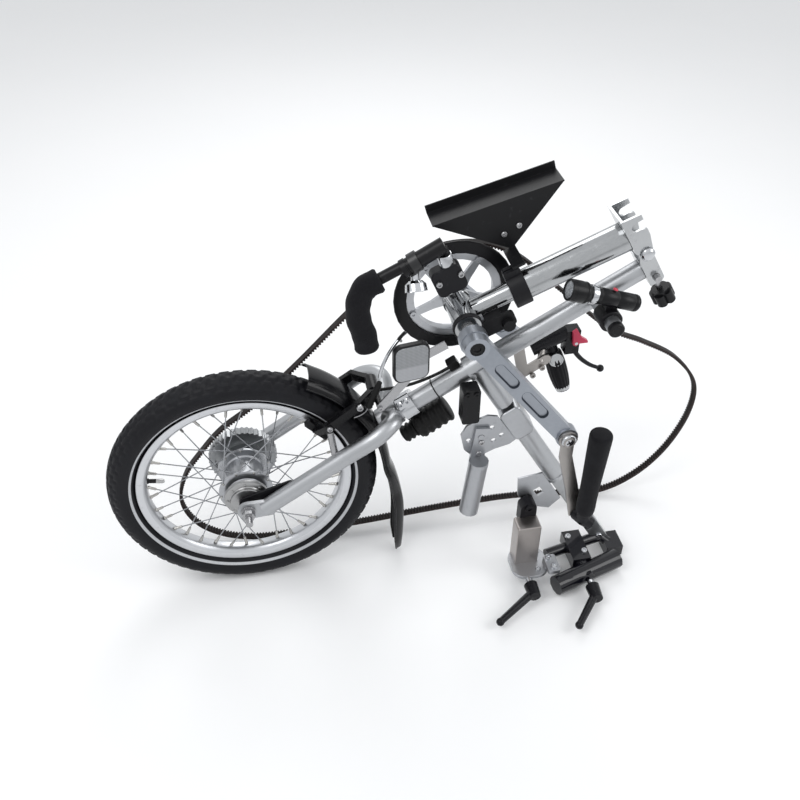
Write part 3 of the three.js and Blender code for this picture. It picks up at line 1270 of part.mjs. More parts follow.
// Rim brake: two arms that straddle the wheel from the fork crown, with a pad at each end.
const padCentre = [112, 20.5, 100];
const padSize = [42, 10, 11];
const brakeArmPlaces = [[112, 26, 100], [128, 37, 116], [172, 35, 147], [196, 12, 152]];
const brakeArmWidth = 13;
const brakeArmThickness = 8;
const brakeHubRadius = 9;
const brakeHubHalf = 15;
const strapBoltFrom = [199, -12, 150];
const strapBoltTo = [199, -48.4, 150];
const strapBoltRadius = 4;
const brakeStemFoot = [208.4, 0, 106.15];
const brakeStemRadius = 5;
const padTangent = crossOf(axisY, vec(padCentre[0], 0, padCentre[2]));
function rimBrake() {
  const solids = [];
  for (const side of [-1, 1]) {
    const place = ([x, y, z]) => vec(x, side * y, z);
    const places = brakeArmPlaces.map(place);
    solids.push(block(place(padCentre), padSize, padTangent, axisY));
    for (let i = 1; i < places.length; i += 1) {
      const along = places[i].clone().sub(places[i - 1]).normalize();
      const across = crossOf(along, crossOf(axisY, along));
      solids.push(barBetween(places[i - 1], places[i], brakeArmThickness, brakeArmWidth, across));
    }
  }
  const bridge = brakeArmPlaces[brakeArmPlaces.length - 1];
  solids.push(rod(vec(bridge[0], -brakeHubHalf, bridge[2]), vec(bridge[0], brakeHubHalf, bridge[2]),
    brakeHubRadius));
  solids.push(rod(at(strapBoltFrom), at(strapBoltTo), strapBoltRadius, strapBoltRadius, coarse));
  solids.push(rod(vec(bridge[0], 0, bridge[2]), at(brakeStemFoot), brakeStemRadius, brakeStemRadius, coarse));
  return join(...solids);
}
piece('rim_brake', rimBrake(), blackCoat);

// Cables: the brake cable with its curved guide and boot, and a second one along the main tube.
const cableRadius = 2.4;
const bootRadius = 5.6;
const bootPlaces = [[184, -38, 143], [201, -38, 186]];
const brakeCablePlaces = [[184, -38, 143], [200, -38, 180], [203, -37, 204], [215, -33, 230], [236, -20, 248],
  [247, 10, 230], [248, 44, 200], [254, 66, 178]];
piece('brake_cable', join(bentRod(brakeCablePlaces.map(at), cableRadius, 20, 6),
  rod(at(bootPlaces[0]), at(bootPlaces[1]), bootRadius, bootRadius * 0.8, coarse)), blackCoat);

const tubeCableUp = mainTubeRadius + cableRadius + seatGap;
const tubeCableAlong = [-6, 30, 70, 104];
const tubeCableAcross = [10, 7, 5, 5];
const tubeCableLift = [26, 10, 2, 0];
const cableBoxSize = [16, 15, 13];
function tubeCable() {
  const places = tubeCableAlong.map((along, i) => onMain(along, tubeCableAcross[i],
    tubeCableUp + tubeCableLift[i]));
  const boxPlace = onMain(tubeCableAlong[3], tubeCableAcross[3],
    mainTubeRadius + seatGap + cableBoxSize[2] / 2);
  return join(bentRod(places, cableRadius, 12, 6), block(boxPlace, cableBoxSize, mainAxis, axisY));
}
piece('tube_cable', tubeCable(), blackCoat);

// Ribbed rubber boots under the main tube, behind the fork crown.
const bootStart = [241, -3, 51.2];
const bootEnd = [309, -3, 96.2];
const bootRadii = [14, 21];
const bootRibs = [3, 5];
const bootRibDepth = 2.5;
const bootSmallShare = 0.3;
function tubeBoots() {
  const start = at(bootStart);
  const along = at(bootEnd).sub(start);
  const length = along.length();
  along.normalize();
  const profile = [[0, 0]];
  const spans = [[0, bootSmallShare], [bootSmallShare, 1]];
  spans.forEach(([from, to], k) => {
    for (let i = 0; i < bootRibs[k]; i += 1) {
      const low = length * (from + ((to - from) * (i + 0.25)) / bootRibs[k]);
      const high = length * (from + ((to - from) * (i + 0.75)) / bootRibs[k]);
      profile.push([bootRadii[k] - bootRibDepth, low], [bootRadii[k], high]);
    }
  });
  profile.push([0, length]);
  return turned(profile, start, along, medium);
}
piece('tube_boots', tubeBoots(), foamBlack);

// Headlight: a torch clamped on the cross stub of the main tube.
const lightY = -52;
const lightClampHalf = 14;
const lightClampRadius = 16;
const lightUp = 30;
const lightSlope = THREE.MathUtils.degToRad(-19);
const lightRadius = 12;
const lightHeadRadius = 15;
const lightFront = -64;
const lightBack = 42;
const lightHeadLength = 24;
const lightButtonRadius = 4;
const lightButtonHeight = 2;
const lightStubPlace = onMain(lightStubAlong, lightY);
const light = bodyAt(lightStubPlace);
const lightAxis = lean(lightSlope);
const onLight = (along) => step(step(lightStubPlace, axisZ, lightUp), lightAxis, along);
function headlightBody() {
  const shell = turned([
    [0, lightFront + lightButtonRadius], [lightHeadRadius, lightFront + lightButtonRadius],
    [lightHeadRadius, lightFront + lightHeadLength], [lightRadius,
    lightFront + lightHeadLength + lightButtonRadius],
    [lightRadius, lightBack - lightButtonRadius], [lightRadius * 0.8, lightBack], [0, lightBack],
  ], onLight(0), lightAxis, medium);
  const clamp = rod(step(lightStubPlace, axisY, -lightClampHalf), step(lightStubPlace, axisY, lightClampHalf),
    lightClampRadius, lightClampRadius, medium);
  const button = rod(onLight(0), step(onLight(0), crossOf(lightAxis, axisY).multiplyScalar(-1),
    lightRadius + lightButtonHeight),
    lightButtonRadius, lightButtonRadius, coarse);
  const saddle = block(step(lightStubPlace, axisZ, lightUp / 2), [lightClampRadius, lightClampHalf, lightUp]);
  return cut(join(shell, clamp, button, saddle), rod(step(lightStubPlace, axisY, -lightClampHalf * 2),
    step(lightStubPlace, axisY, lightClampHalf * 2), lightStubRadius + seatGap, lightStubRadius + seatGap,
    medium));
}
piece('headlight_body', headlightBody(), blackCoat, light);
piece('headlight_lens', rod(onLight(lightFront - lightButtonRadius / 2),
  onLight(lightFront + lightButtonRadius - seatGap),
  lightHeadRadius, lightHeadRadius, medium), clearPlastic, light);

// Docking beam: a stem clamped round the main tube, a block with the fold pin, and a tube with a sliding bar.
const beamStart = at([350, -8, 170]);
const beamAxis = vec(0.517, -0.128, -0.846).normalize();
const beamAcross = crossOf(beamAxis, axisY);
const beamOut = crossOf(beamAxis, beamAcross);
const onBeam = (along, across = 0, out = 0) =>
  step(step(step(beamStart, beamAxis, along), beamAcross, across), beamOut, out);
const stemRadiusDock = 15;
const stemEnd = 78;
const dockCollarAlong = 132;
const dockCollarRadius = 20;
const dockCollarHalf = 16;
const foldEarThickness = 7;
const foldPinRadius = 6;
const foldAt = 112;
const blockHalf = [28, 18, 17];
function dockStem() {
  const tube = rod(onBeam(0), onBeam(stemEnd), stemRadiusDock, stemRadiusDock, medium);
  const collar = rod(onMain(dockCollarAlong - dockCollarHalf), onMain(dockCollarAlong + dockCollarHalf),
    dockCollarRadius,
    dockCollarRadius, fine);
  const bore = rod(onMain(dockCollarAlong - dockCollarHalf * 3), onMain(dockCollarAlong + dockCollarHalf * 3),
    mainTubeRadius + seatGap, mainTubeRadius + seatGap, fine);
  const cheek = block(onBeam((stemEnd + foldAt) / 2, 0, -blockHalf[1] - foldEarThickness / 2 - seatGap),
    [foldAt - stemEnd + foldPinRadius * 4, blockHalf[2] * 1.4, foldEarThickness], beamAxis, beamAcross);
  const shelf = block(onBeam(stemEnd - foldEarThickness / 2, 0, -blockHalf[1] / 2),
    [foldEarThickness, blockHalf[2] * 1.4, blockHalf[1] + foldEarThickness * 2], beamAxis, beamAcross);
  const pin = rod(onBeam(foldAt, 0, -blockHalf[1] - foldEarThickness), onBeam(foldAt, 0,
    blockHalf[1] - foldPinRadius),
    foldPinRadius, foldPinRadius, medium);
  return cut(join(tube, collar, cheek, shelf, pin), bore);
}
piece('dock_stem', dockStem(), satinAluminium);

const beam = bodyAt(onBeam(foldAt));
function dockBlock() {
  const body = block(onBeam(foldAt), [blockHalf[0] * 2, blockHalf[2] * 2, blockHalf[1] * 2], beamAxis,
    beamAcross);
  return cut(body, rod(onBeam(foldAt, 0, -blockHalf[1] * 2), onBeam(foldAt, 0,
    blockHalf[1] - foldPinRadius + seatGap),
    foldPinRadius + seatGap, foldPinRadius + seatGap, medium));
}
piece('dock_block', dockBlock(), polishedMetal, beam);

const dockTubeEnd = 250;
const dockTubeWall = 2.4;
const barWidth = 24;
const barThickness = 11;
const barStart = 170;
const barEnd = 416;
const ringWidth = 7;
const ringLip = 1.5;
function dockTube() {
  const from = foldAt + blockHalf[0] + seatGap;
  const tube = rod(onBeam(from), onBeam(dockTubeEnd - ringWidth / 2), stemRadiusDock, stemRadiusDock, medium);
  const ring = rod(onBeam(dockTubeEnd - ringWidth), onBeam(dockTubeEnd), stemRadiusDock + ringLip,
    stemRadiusDock + ringLip, medium);
  const slotLength = dockTubeEnd - barStart + 2 * ringWidth;
  const slot = block(onBeam(dockTubeEnd + ringWidth - slotLength / 2),
    [slotLength, barWidth + 2 * seatGap, barThickness + 2 * seatGap], beamAxis, beamAcross);
  return cut(join(tube, ring), slot);
}
piece('dock_tube', dockTube(), satinAluminium, beam);

const barSlide = bodyAt(onBeam(dockTubeEnd), beam);
function dockBar() {
  const shape = roundedOutline(barEnd - barStart, barWidth, barWidth / 6);
  return plate(shape, barThickness, onBeam((barStart + barEnd) / 2), beamAxis, beamAcross, 3);
}
piece('dock_bar', dockBar(), satinAluminium, barSlide);

// Sector plate and prop leg on the near side of the block.
const sectorThickness = 4;
const sectorPlaces = [[350, 92], [362, 96], [377, 92], [408.2, 41.6], [399, 34], [376, 28], [346, 14],
  [328, 34], [322, 64],
  [330, 80]];
const sectorHoles = [[369, 72], [373, 46], [385, 55], [334, 52]];
const sectorHoleRadius = 4;
const sectorPivot = [352, 60];
const sectorPinRadius = 5;
const sectorY = -31;
function sectorPlate() {
  const whole = wheelPlanePlate(outline(sectorPlaces), sectorY - sectorThickness, sectorY);
  const holes = sectorHoles.map(([x, z]) => rod(vec(x, sectorY - sectorThickness * 2, z),
    vec(x, sectorY + sectorThickness, z), sectorHoleRadius, sectorHoleRadius, coarse));
  const pin = rod(vec(sectorPivot[0], sectorY - sectorThickness / 2, sectorPivot[1]),
    vec(sectorPivot[0], sectorY - sectorThickness * 2.6, sectorPivot[1]), sectorPinRadius, sectorPinRadius,
    coarse);
  return join(cut(whole, ...holes), pin);
}
piece('sector_plate', sectorPlate(), greyPlate, beam);

const leg = bodyAt(vec(sectorPivot[0], sectorY - sectorThickness * 2, sectorPivot[1]), beam);
const legRadius = 15;
const legTongueWidth = 22;
const legTongueThickness = 5;
const legY = -52;
const legTop = [347, 22];
const legFoot = [336, -79];
const legTongueShift = 2;
function standLeg() {
  const tube = pipe(vec(legTop[0], legY, legTop[1]), vec(legFoot[0], legY, legFoot[1]), legRadius,
    legRadius - dockTubeWall, medium);
  const cap = rod(vec(legTop[0], legY, legTop[1] - legTongueThickness), vec(legTop[0], legY,
    legTop[1] + legTongueThickness / 2),
    legRadius, legRadius, medium);
  const tongueY = sectorY - sectorThickness - seatGap - legTongueThickness / 2;
  const tongue = barBetween(vec(sectorPivot[0] + legTongueShift, tongueY,
    sectorPivot[1] + legTongueWidth * 0.7),
    vec(legTop[0], tongueY, legTop[1] - legTongueWidth / 2), legTongueWidth, legTongueThickness, axisX);
  const bore = rod(vec(sectorPivot[0], sectorY, sectorPivot[1]), vec(sectorPivot[0], legY * 2,
    sectorPivot[1]),
    sectorPinRadius + seatGap, sectorPinRadius + seatGap, coarse);
  return cut(join(tube, cap, tongue), bore);
}
piece('stand_leg', standLeg(), greyPlate, leg);

const latchBoxCentre = [333.4, -31, 122];
const latchBoxSize = [26, 22, 62];
function latchBox() {
  const body = plate(roundedOutline(latchBoxSize[0], latchBoxSize[2], sectorHoleRadius), latchBoxSize[1],
    at(latchBoxCentre), axisX, axisZ);
  const screws = [-1, 1].map((side) => screw(at(latchBoxCentre).add(vec(side * latchBoxSize[0] / 4,
    -latchBoxSize[1] / 2, latchBoxSize[2] * 0.38)), vec(0, -1, 0), sectorHoleRadius, sectorHoleRadius / 2));
  return join(body, ...screws);
}
piece('latch_box', latchBox(), blackCoat);

// Clamps: a plate on the tube carries the left clamp, and the bar carries the right one.
const clampPlatePlaces = [[208, -50], [222, -13.6], [242, -13.6], [284, -13.6], [290, -38], [264, -64],
  [236, -66]];
const clampPlateOut = 11;
const clampPlateThickness = 4;
const clampPlateHole = [14, 12];
const clampPlateHoleAt = [250, -36];
function clampPlate() {
  const body = plate(outline(clampPlatePlaces), clampPlateThickness, onBeam(0, 0, clampPlateOut), beamAxis,
    beamAcross);
  const hole = block(onBeam(clampPlateHoleAt[0], clampPlateHoleAt[1], clampPlateOut),
    [clampPlateHole[0], clampPlateHole[1], clampPlateThickness * 2], beamAxis, beamAcross);
  return cut(body, hole);
}
piece('clamp_plate', clampPlate(), greyPlate, beam);

const clevisCentre = [427, -66, -86];
const clevisSize = [26, 18, 46];
const clevisBoltRadius = 7;
const clevisBoltUp = 16;
const clevisBossReach = 3;
function leftClevis() {
  const body = plate(roundedOutline(clevisSize[0], clevisSize[2], clevisSize[0] / 3), clevisSize[1],
    at(clevisCentre), axisX, axisZ);
  const bolt = screw(at(clevisCentre).add(vec(0, -clevisSize[1] / 2, clevisBoltUp)), vec(0, -1, 0),
    clevisBoltRadius,
    clevisBoltRadius / 2);
  const boss = rod(at(clevisCentre).add(vec(0, 0, clevisBoltUp)),
    at(clevisCentre).add(vec(0, clevisSize[1] / 2 + clevisBossReach, clevisBoltUp)), clevisBoltRadius,
    clevisBoltRadius, coarse);
  return join(body, bolt, boss);
}
piece('left_clevis', leftClevis(), blackCoat, beam);

const leftBoxCentre = [423, -86, -131];
const leftBoxSize = [38, 28, 84];
const leftBaseCentre = [427, -98, -172];
const leftBaseSize = [60, 62, 6];
const leftBaseCorner = 22;
const leftStudRadius = 6;
const leftLeverY = -140;
const leftStudAt = [419, -175];
const leftHubRadius = 11;
const leftHubLength = 24;
const leverArmRadius = 5.5;
const leftTip = [356, -192, -186];
const capTabCentre = [459, -118, -160];
const capTabSize = [20, 34, 8];
const capPostCentre = [452, -112, -166];
const capPostSize = [7, 16, 10];
const capBoltAt = [[456, -108], [460, -126]];
const capBoltRadius = 5;
function leftClamp() {
  const box = block(at(leftBoxCentre), leftBoxSize);
  const base = plate(roundedOutline(leftBaseSize[0], leftBaseSize[1], leftBaseCorner), leftBaseSize[2],
    at(leftBaseCentre),
    axisX, axisY, 4);
  const stud = rod(vec(leftStudAt[0], leftBaseCentre[1], leftStudAt[1]), vec(leftStudAt[0],
    leftLeverY + seatGap, leftStudAt[1]),
    leftStudRadius, leftStudRadius, coarse);
  const tab = block(at(capTabCentre), capTabSize);
  const post = block(at(capPostCentre), capPostSize);
  const bolts = capBoltAt.map(([x, y]) => screw(vec(x, y, capTabCentre[2] + capTabSize[2] / 2), axisZ,
    capBoltRadius,
    capBoltRadius));
  return cut(join(box, base, stud, tab, post, ...bolts), block(at(clevisCentre),
    [clevisSize[0] + 2 * seatGap, clevisSize[1] + 2 * seatGap,
    clevisSize[2] + 2 * seatGap]));
}
piece('left_clamp', leftClamp(), greyPlate, beam);

function clampLever(hubFrom, hubTo, radius, tip) {
  const hub = rod(hubFrom, hubTo, radius, radius * 0.86, medium);
  const knee = hubFrom.clone().lerp(hubTo, 0.6);
  const arm = rod(knee, tip, leverArmRadius * 1.25, leverArmRadius, coarse);
  return join(hub, arm, ball(tip, leverArmRadius * 1.2, coarse));
}
const leftLever = bodyAt(vec(leftStudAt[0], leftLeverY, leftStudAt[1]), beam);
piece('left_lever', clampLever(vec(leftStudAt[0], leftLeverY, leftStudAt[1]),
  vec(leftStudAt[0], leftLeverY - leftHubLength, leftStudAt[1]), leftHubRadius, at(leftTip)), blackCoat,
  leftLever);

const jawEnds = [[460, -144, -182], [575, -108, -182]];
const jawRadius = 16;
const backBarEnds = [[463, -82, -178], [562, -60, -178]];
const backBarRadius = 9;
const midBoxCentre = [513, -82, -176];
const midBoxSize = [30, 62, 22];
const crossArmEnds = [[513, -100, -178], [516, -140, -180]];
const crossArmRadius = 11;
const footCentre = [580, -70, -189];
const footSize = [28, 36, 20];
function rightClamp() {
  const jaw = rod(at(jawEnds[0]), at(jawEnds[1]), jawRadius, jawRadius, coarse);
  const back = rod(at(backBarEnds[0]), at(backBarEnds[1]), backBarRadius, backBarRadius, coarse);
  const mid = block(at(midBoxCentre), midBoxSize);
  const arm = rod(at(crossArmEnds[0]), at(crossArmEnds[1]), crossArmRadius, crossArmRadius, coarse);
  const foot = block(at(footCentre), footSize);
  const link = rod(at(backBarEnds[1]), at(footCentre), backBarRadius, backBarRadius, coarse);
  const barRoom = block(onBeam((barStart + barEnd) / 2), [barEnd - barStart + 2 * seatGap,
    barWidth + 2 * seatGap,
    barThickness + 2 * seatGap], beamAxis, beamAcross);
  return cut(join(jaw, back, mid, arm, foot, link), barRoom);
}
piece('right_clamp', rightClamp(), glossBlack, barSlide);

const rightHub = [[515, -158, -179], [514, -184, -179]];
const rightTip = [472, -222, -184];
const rightStudRadius = 5;
const rightStudFrom = [516, -145.3, -180];
const rightLever = bodyAt(at(rightHub[0]), barSlide);
piece('right_lever', join(clampLever(at(rightHub[0]), at(rightHub[1]), leftHubRadius, at(rightTip)),
  rod(at(rightStudFrom), at(rightHub[0]), rightStudRadius, rightStudRadius, coarse)),
blackCoat, rightLever);

export default handcycle;
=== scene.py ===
import math

import bmesh
import bpy
from mathutils import Matrix, Vector


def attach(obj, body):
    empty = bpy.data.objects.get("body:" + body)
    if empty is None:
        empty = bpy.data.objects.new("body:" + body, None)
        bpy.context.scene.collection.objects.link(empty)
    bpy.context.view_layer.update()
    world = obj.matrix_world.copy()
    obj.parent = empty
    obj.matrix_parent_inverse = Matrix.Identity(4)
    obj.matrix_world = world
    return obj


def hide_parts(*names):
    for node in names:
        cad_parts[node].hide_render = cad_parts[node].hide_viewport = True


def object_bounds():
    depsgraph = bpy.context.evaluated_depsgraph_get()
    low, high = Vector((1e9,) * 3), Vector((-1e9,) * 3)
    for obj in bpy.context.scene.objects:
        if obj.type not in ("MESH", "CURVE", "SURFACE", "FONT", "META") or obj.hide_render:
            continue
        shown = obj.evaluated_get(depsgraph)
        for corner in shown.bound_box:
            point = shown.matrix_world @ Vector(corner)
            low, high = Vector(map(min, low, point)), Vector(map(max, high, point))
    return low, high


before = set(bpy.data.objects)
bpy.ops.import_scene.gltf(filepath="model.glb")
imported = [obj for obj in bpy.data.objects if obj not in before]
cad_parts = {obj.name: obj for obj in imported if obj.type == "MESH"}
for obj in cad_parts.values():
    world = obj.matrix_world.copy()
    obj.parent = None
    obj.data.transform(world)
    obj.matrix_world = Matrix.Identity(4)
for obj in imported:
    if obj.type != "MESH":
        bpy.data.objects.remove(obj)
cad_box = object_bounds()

# Studio: a pale floor under soft lamps, seen from above on the near side.
# Node sums are written as Python sums, so the classes for them stand here, where the world first needs them.
noise_roughness = 0.55


class Value:
    """A node socket that takes part in sums; each sum adds its Math node."""

    def __init__(self, nodes, socket):
        self.nodes, self.socket = nodes, socket

    def maths(self, operation, *values):
        return self.nodes.add("ShaderNodeMath", {"operation": operation}, dict(enumerate(values)))

    def __add__(self, other):
        return self.maths("ADD", self, other)

    def __sub__(self, other):
        return self.maths("SUBTRACT", self, other)

    def __rsub__(self, other):
        return self.maths("SUBTRACT", other, self)

    def __mul__(self, other):
        return self.maths("MULTIPLY", self, other)

    def __pow__(self, other):
        return self.maths("POWER", self, other)

    def larger(self, other):
        return self.maths("MAXIMUM", self, other)

    def size(self):
        return self.maths("ABSOLUTE", self)

    def sine(self):
        return self.maths("SINE", self)

    def rise(self, low, high):
        """0 below low, 1 above high and a smooth slope between them."""
        return self.nodes.add("ShaderNodeMapRange", {"interpolation_type": "SMOOTHSTEP"},
                              {0: self, 1: low, 2: high})

    def band(self, low, high, soft):
        """1 between low and high, with soft sides."""
        return self.rise(low - soft, low + soft) - self.rise(high - soft, high + soft)


class Nodes:
    """The nodes of one finish or of the world."""

    def __init__(self, tree):
        self.tree = tree
        tree.nodes.clear()

    def add(self, kind, settings=None, sockets=None, out=0):
        made = self.tree.nodes.new(kind)
        for name, setting in (settings or {}).items():
            setattr(made, name, setting)
        for key, value in (sockets or {}).items():
            socket = made.inputs[key]
            if isinstance(value, Value):
                self.tree.links.new(value.socket, socket)
            elif isinstance(value, tuple) and socket.type == "RGBA":
                socket.default_value = (*value, 1)
            else:
                socket.default_value = value
        return Value(self, made.outputs[out]) if made.outputs else None

    def blend(self, share, first, second):
        return self.add("ShaderNodeMix", {"data_type": "RGBA"}, {0: share, 6: first, 7: second}, 2)

    def place(self):
        return self.add("ShaderNodeTexCoord", out="Object")

    def vector(self, operation, first, second, out="Vector"):
        return self.add("ShaderNodeVectorMath", {"operation": operation}, {0: first, 1: second}, out)

    def where(self):
        """The place on the piece as three values, in metres."""
        place = self.place()
        return [self.add("ShaderNodeSeparateXYZ", None, {0: place}, axis) for axis in range(3)]

    def noise(self, scale, detail=3, stretch=(1, 1, 1)):
        spread = self.vector("MULTIPLY", self.place(), stretch)
        return self.add("ShaderNodeTexNoise", None,
                        {"Vector": spread, "Scale": scale, "Detail": detail, "Roughness": noise_roughness})

    def cells(self, scale):
        return self.add("ShaderNodeTexVoronoi", None, {"Vector": self.place(), "Scale": scale}, "Distance")

    def bump(self, height, distance):
        return self.add("ShaderNodeBump", None, {"Height": height, "Distance": distance})

    def surface(self, sockets):
        shader = self.add("ShaderNodeBsdfPrincipled", None, sockets)
        self.add("ShaderNodeOutputMaterial", None, {"Surface": shader})


def finish(name):
    material = bpy.data.materials.new(name)
    material.use_nodes = True
    return material, Nodes(material.node_tree)


camera_place = Vector((0.036, -0.939, 0.990))
camera_right = Vector((0.98166, -0.19064, 0))
camera_back = Vector((-0.14683, -0.75603, 0.63786))
focal_pixels, frame_pixels, sensor_width, nearest_seen = 937, 800, 36, 0.01
camera = bpy.data.objects.new("camera", bpy.data.cameras.new("camera"))
bpy.context.scene.collection.objects.link(camera)
camera_up = camera_back.cross(camera_right)
camera.matrix_world = Matrix.Translation(camera_place) @ Matrix(
    (camera_right, camera_up, camera_back)).transposed().to_4x4()
camera.data.sensor_width = sensor_width
camera.data.lens = sensor_width * focal_pixels / frame_pixels
camera.data.clip_start = nearest_seen
bpy.context.scene.camera = camera
bpy.context.scene.view_settings.view_transform = "Standard"

world = bpy.data.worlds.new("studio")
bpy.context.scene.world = world
world.use_nodes = True
sky = Nodes(world.node_tree)
seen = sky.add("ShaderNodeLightPath", out="Is Camera Ray")
seen = seen.larger(sky.add("ShaderNodeLightPath", out="Is Glossy Ray"))
seen = seen.larger(sky.add("ShaderNodeLightPath", out="Is Transmission Ray"))
sky_level, sky_colour = 0.72, (0.97, 0.985, 1.0)
sky_light = sky.add("ShaderNodeBackground", None,
                    {"Color": sky_colour, "Strength": seen * (1 - sky_level) + sky_level})
sky.add("ShaderNodeOutputWorld", None, {"Surface": sky_light})


lamp_target = Vector((0.27, 0.09, 0.05))


def lamp(name, place, width, power):
    light = bpy.data.lights.new(name, "AREA")
    light.shape, light.size, light.energy = "DISK", width, power
    stand = bpy.data.objects.new(name, light)
    bpy.context.scene.collection.objects.link(stand)
    stand.location = place
    towards = lamp_target - stand.location
    stand.rotation_euler = towards.to_track_quat("-Z", "Y").to_euler()


lamp("high_left_lamp", (-0.9, -0.5, 1.9), 1.3, 15)
lamp("right_lamp", (1.7, -0.6, 1.0), 1.0, 8)
lamp("back_lamp", (0.5, 1.7, 1.5), 1.2, 10)

floor_half, floor_gap = 12.0, 0.0004
floor_mesh = bpy.data.meshes.new("floor")
floor_corners = [(x * floor_half, y * floor_half, cad_box[0].z - floor_gap)
                 for x, y in ((-1, -1), (1, -1), (1, 1), (-1, 1))]
floor_mesh.from_pydata(floor_corners, [], [(0, 1, 2, 3)])
floor = bpy.data.objects.new("floor", floor_mesh)
bpy.context.scene.collection.objects.link(floor)
floor_finish, pale = finish("pale_floor")
pale.surface({"Base Color": pale.blend(pale.noise(3), (0.96, 0.965, 0.97), (0.985, 0.985, 0.99)),
              "Roughness": 0.9, "Specular IOR Level": 0.1})
floor_mesh.materials.append(floor_finish)

# Tyre: moulded black rubber with a block tread and one pale reflecting band on each side. It is a soft ring
# held by its beads in the rim. Places are in millimetres from the axle, as in the CAD source.
axle_half = 95


def joined(shapes):
    points, faces = [], []
    for some, sides in shapes:
        faces += [[len(points) + corner for corner in face] for face in sides]
        points += some
    return points, faces


def built(name, shapes, coat, body, replaces=(), sharp=34, edge=0.0, steps=2):
    """A piece from one or more shapes in millimetres; edge is the width of its rounded edges."""
    points, faces = joined(shapes)
    mesh = bpy.data.meshes.new(name)
    mesh.from_pydata([(x / 1000, (y + axle_half) / 1000, z / 1000) for x, y, z in points], [], faces)
    work = bmesh.new()
    work.from_mesh(mesh)
    bmesh.ops.recalc_face_normals(work, faces=work.faces)
    work.to_mesh(mesh)
    work.free()
    mesh.materials.append(coat)
    for face in mesh.polygons:
        face.use_smooth = True
    made = bpy.data.objects.new(name, mesh)
    bpy.context.scene.collection.objects.link(made)
    if edge:
        soften(made, edge, sharp, steps)
    else:
        mesh.set_sharp_from_angle(angle=math.radians(sharp))
    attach(made, body)
    if replaces:
        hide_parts(*replaces)
    return made


def soften(made, edge, sharp=38, steps=2):
    """Rounds the sharp edges a little and lets flat faces keep a flat look."""
    bevel = made.modifiers.new("rounded edges", "BEVEL")
    bevel.width, bevel.segments = edge / 1000, steps
    bevel.limit_method, bevel.angle_limit = "ANGLE", math.radians(sharp)
    normals = made.modifiers.new("even shading", "WEIGHTED_NORMAL")
    normals.keep_sharp = False


def turn(profile, centre, axis, sides=96):
    """A turned shape; the profile is [radius, distance along the axis]."""
    centre, axis = Vector(centre), Vector(axis).normalized()
    side = axis.orthogonal().normalized()
    other = axis.cross(side)
    closed = tuple(profile[0]) == tuple(profile[-1])
    points, rings = [], []
    for radius, along in profile[:-1] if closed else profile:
        base = centre + axis * along
        if radius == 0:
            rings.append([len(points)])
            points.append(base)
            continue
        rings.append(range(len(points), len(points) + sides))
        for i in range(sides):
            angle = math.tau * i / sides
            points.append(base + (side * math.cos(angle) + other * math.sin(angle)) * radius)
    pairs = list(zip(rings, rings[1:]))
    if closed:
        pairs.append((rings[-1], rings[0]))
    faces = []
    for low, high in pairs:
        for i in range(sides):
            k = (i + 1) % sides
            corners = [low[i % len(low)], low[k % len(low)], high[k % len(high)], high[i % len(high)]]
            face = list(dict.fromkeys(corners))
            if len(face) > 2:
                faces.append(face)
    return points, faces


tyre_outer, tyre_middle, tyre_half = 200.0, 179.25, 23.5
tread_count, tread_depth, block_steps = 64, 1.9, 8
tread_row, row_gap, block_gap, tread_from = 0.33, 0.36, 0.26, 0.36
lug_from, lug_height, lug_share = 0.2, 0.45, 0.8


def tyre_shape():
    """A round section whose crown is cut into staggered blocks."""
    sides, rows = tread_count * block_steps, 44
    low, high = math.radians(-60), math.radians(240)
    points, faces = [], []
    for i in range(sides):
        angle = math.tau * i / sides
        for k in range(rows + 1):
            around = low + (high - low) * k / rows
            crown = math.sin(around)
            across = math.cos(around)
            row = round(across / tread_row)
            beat = (i / block_steps + 0.5 * (row % 2) + 0.35 * abs(across)) % 1
            between_rows = abs(across / tread_row - row) > row_gap
            cut = crown > tread_from and (beat < block_gap or between_rows)
            lug = lug_height if lug_from < crown <= tread_from and (i / 4) % 2 < lug_share else 0
            deep = (tread_depth if cut else 0) - lug
            radius = tyre_middle + (tyre_outer - tyre_middle - deep) * crown
            side = (tyre_half - deep * 0.6) * across
            points.append(Vector((radius * math.cos(angle), side, radius * math.sin(angle))))
    inner = [(160.2, 10.2), (154.0, 8.8), (154.0, -8.8), (160.2, -10.2)]
    width = rows + 1
    for i in range(sides):
        for k in range(rows):
            a, b = i * width + k, ((i + 1) % sides) * width + k
            faces.append([a, a + 1, b + 1, b])
    first = len(points)
    for i in range(sides):
        angle = math.tau * i / sides
        points += [Vector((r * math.cos(angle), y, r * math.sin(angle))) for r, y in inner]
    for i in range(sides):
        k = (i + 1) % sides
        a, b = first + i * 4, first + k * 4
        faces += [[a + n, a + n + 1, b + n + 1, b + n] for n in range(3)]
        faces.append([i * width, a, b, k * width])
        faces.append([i * width + rows, k * width + rows, b + 3, a + 3])
    return points, faces


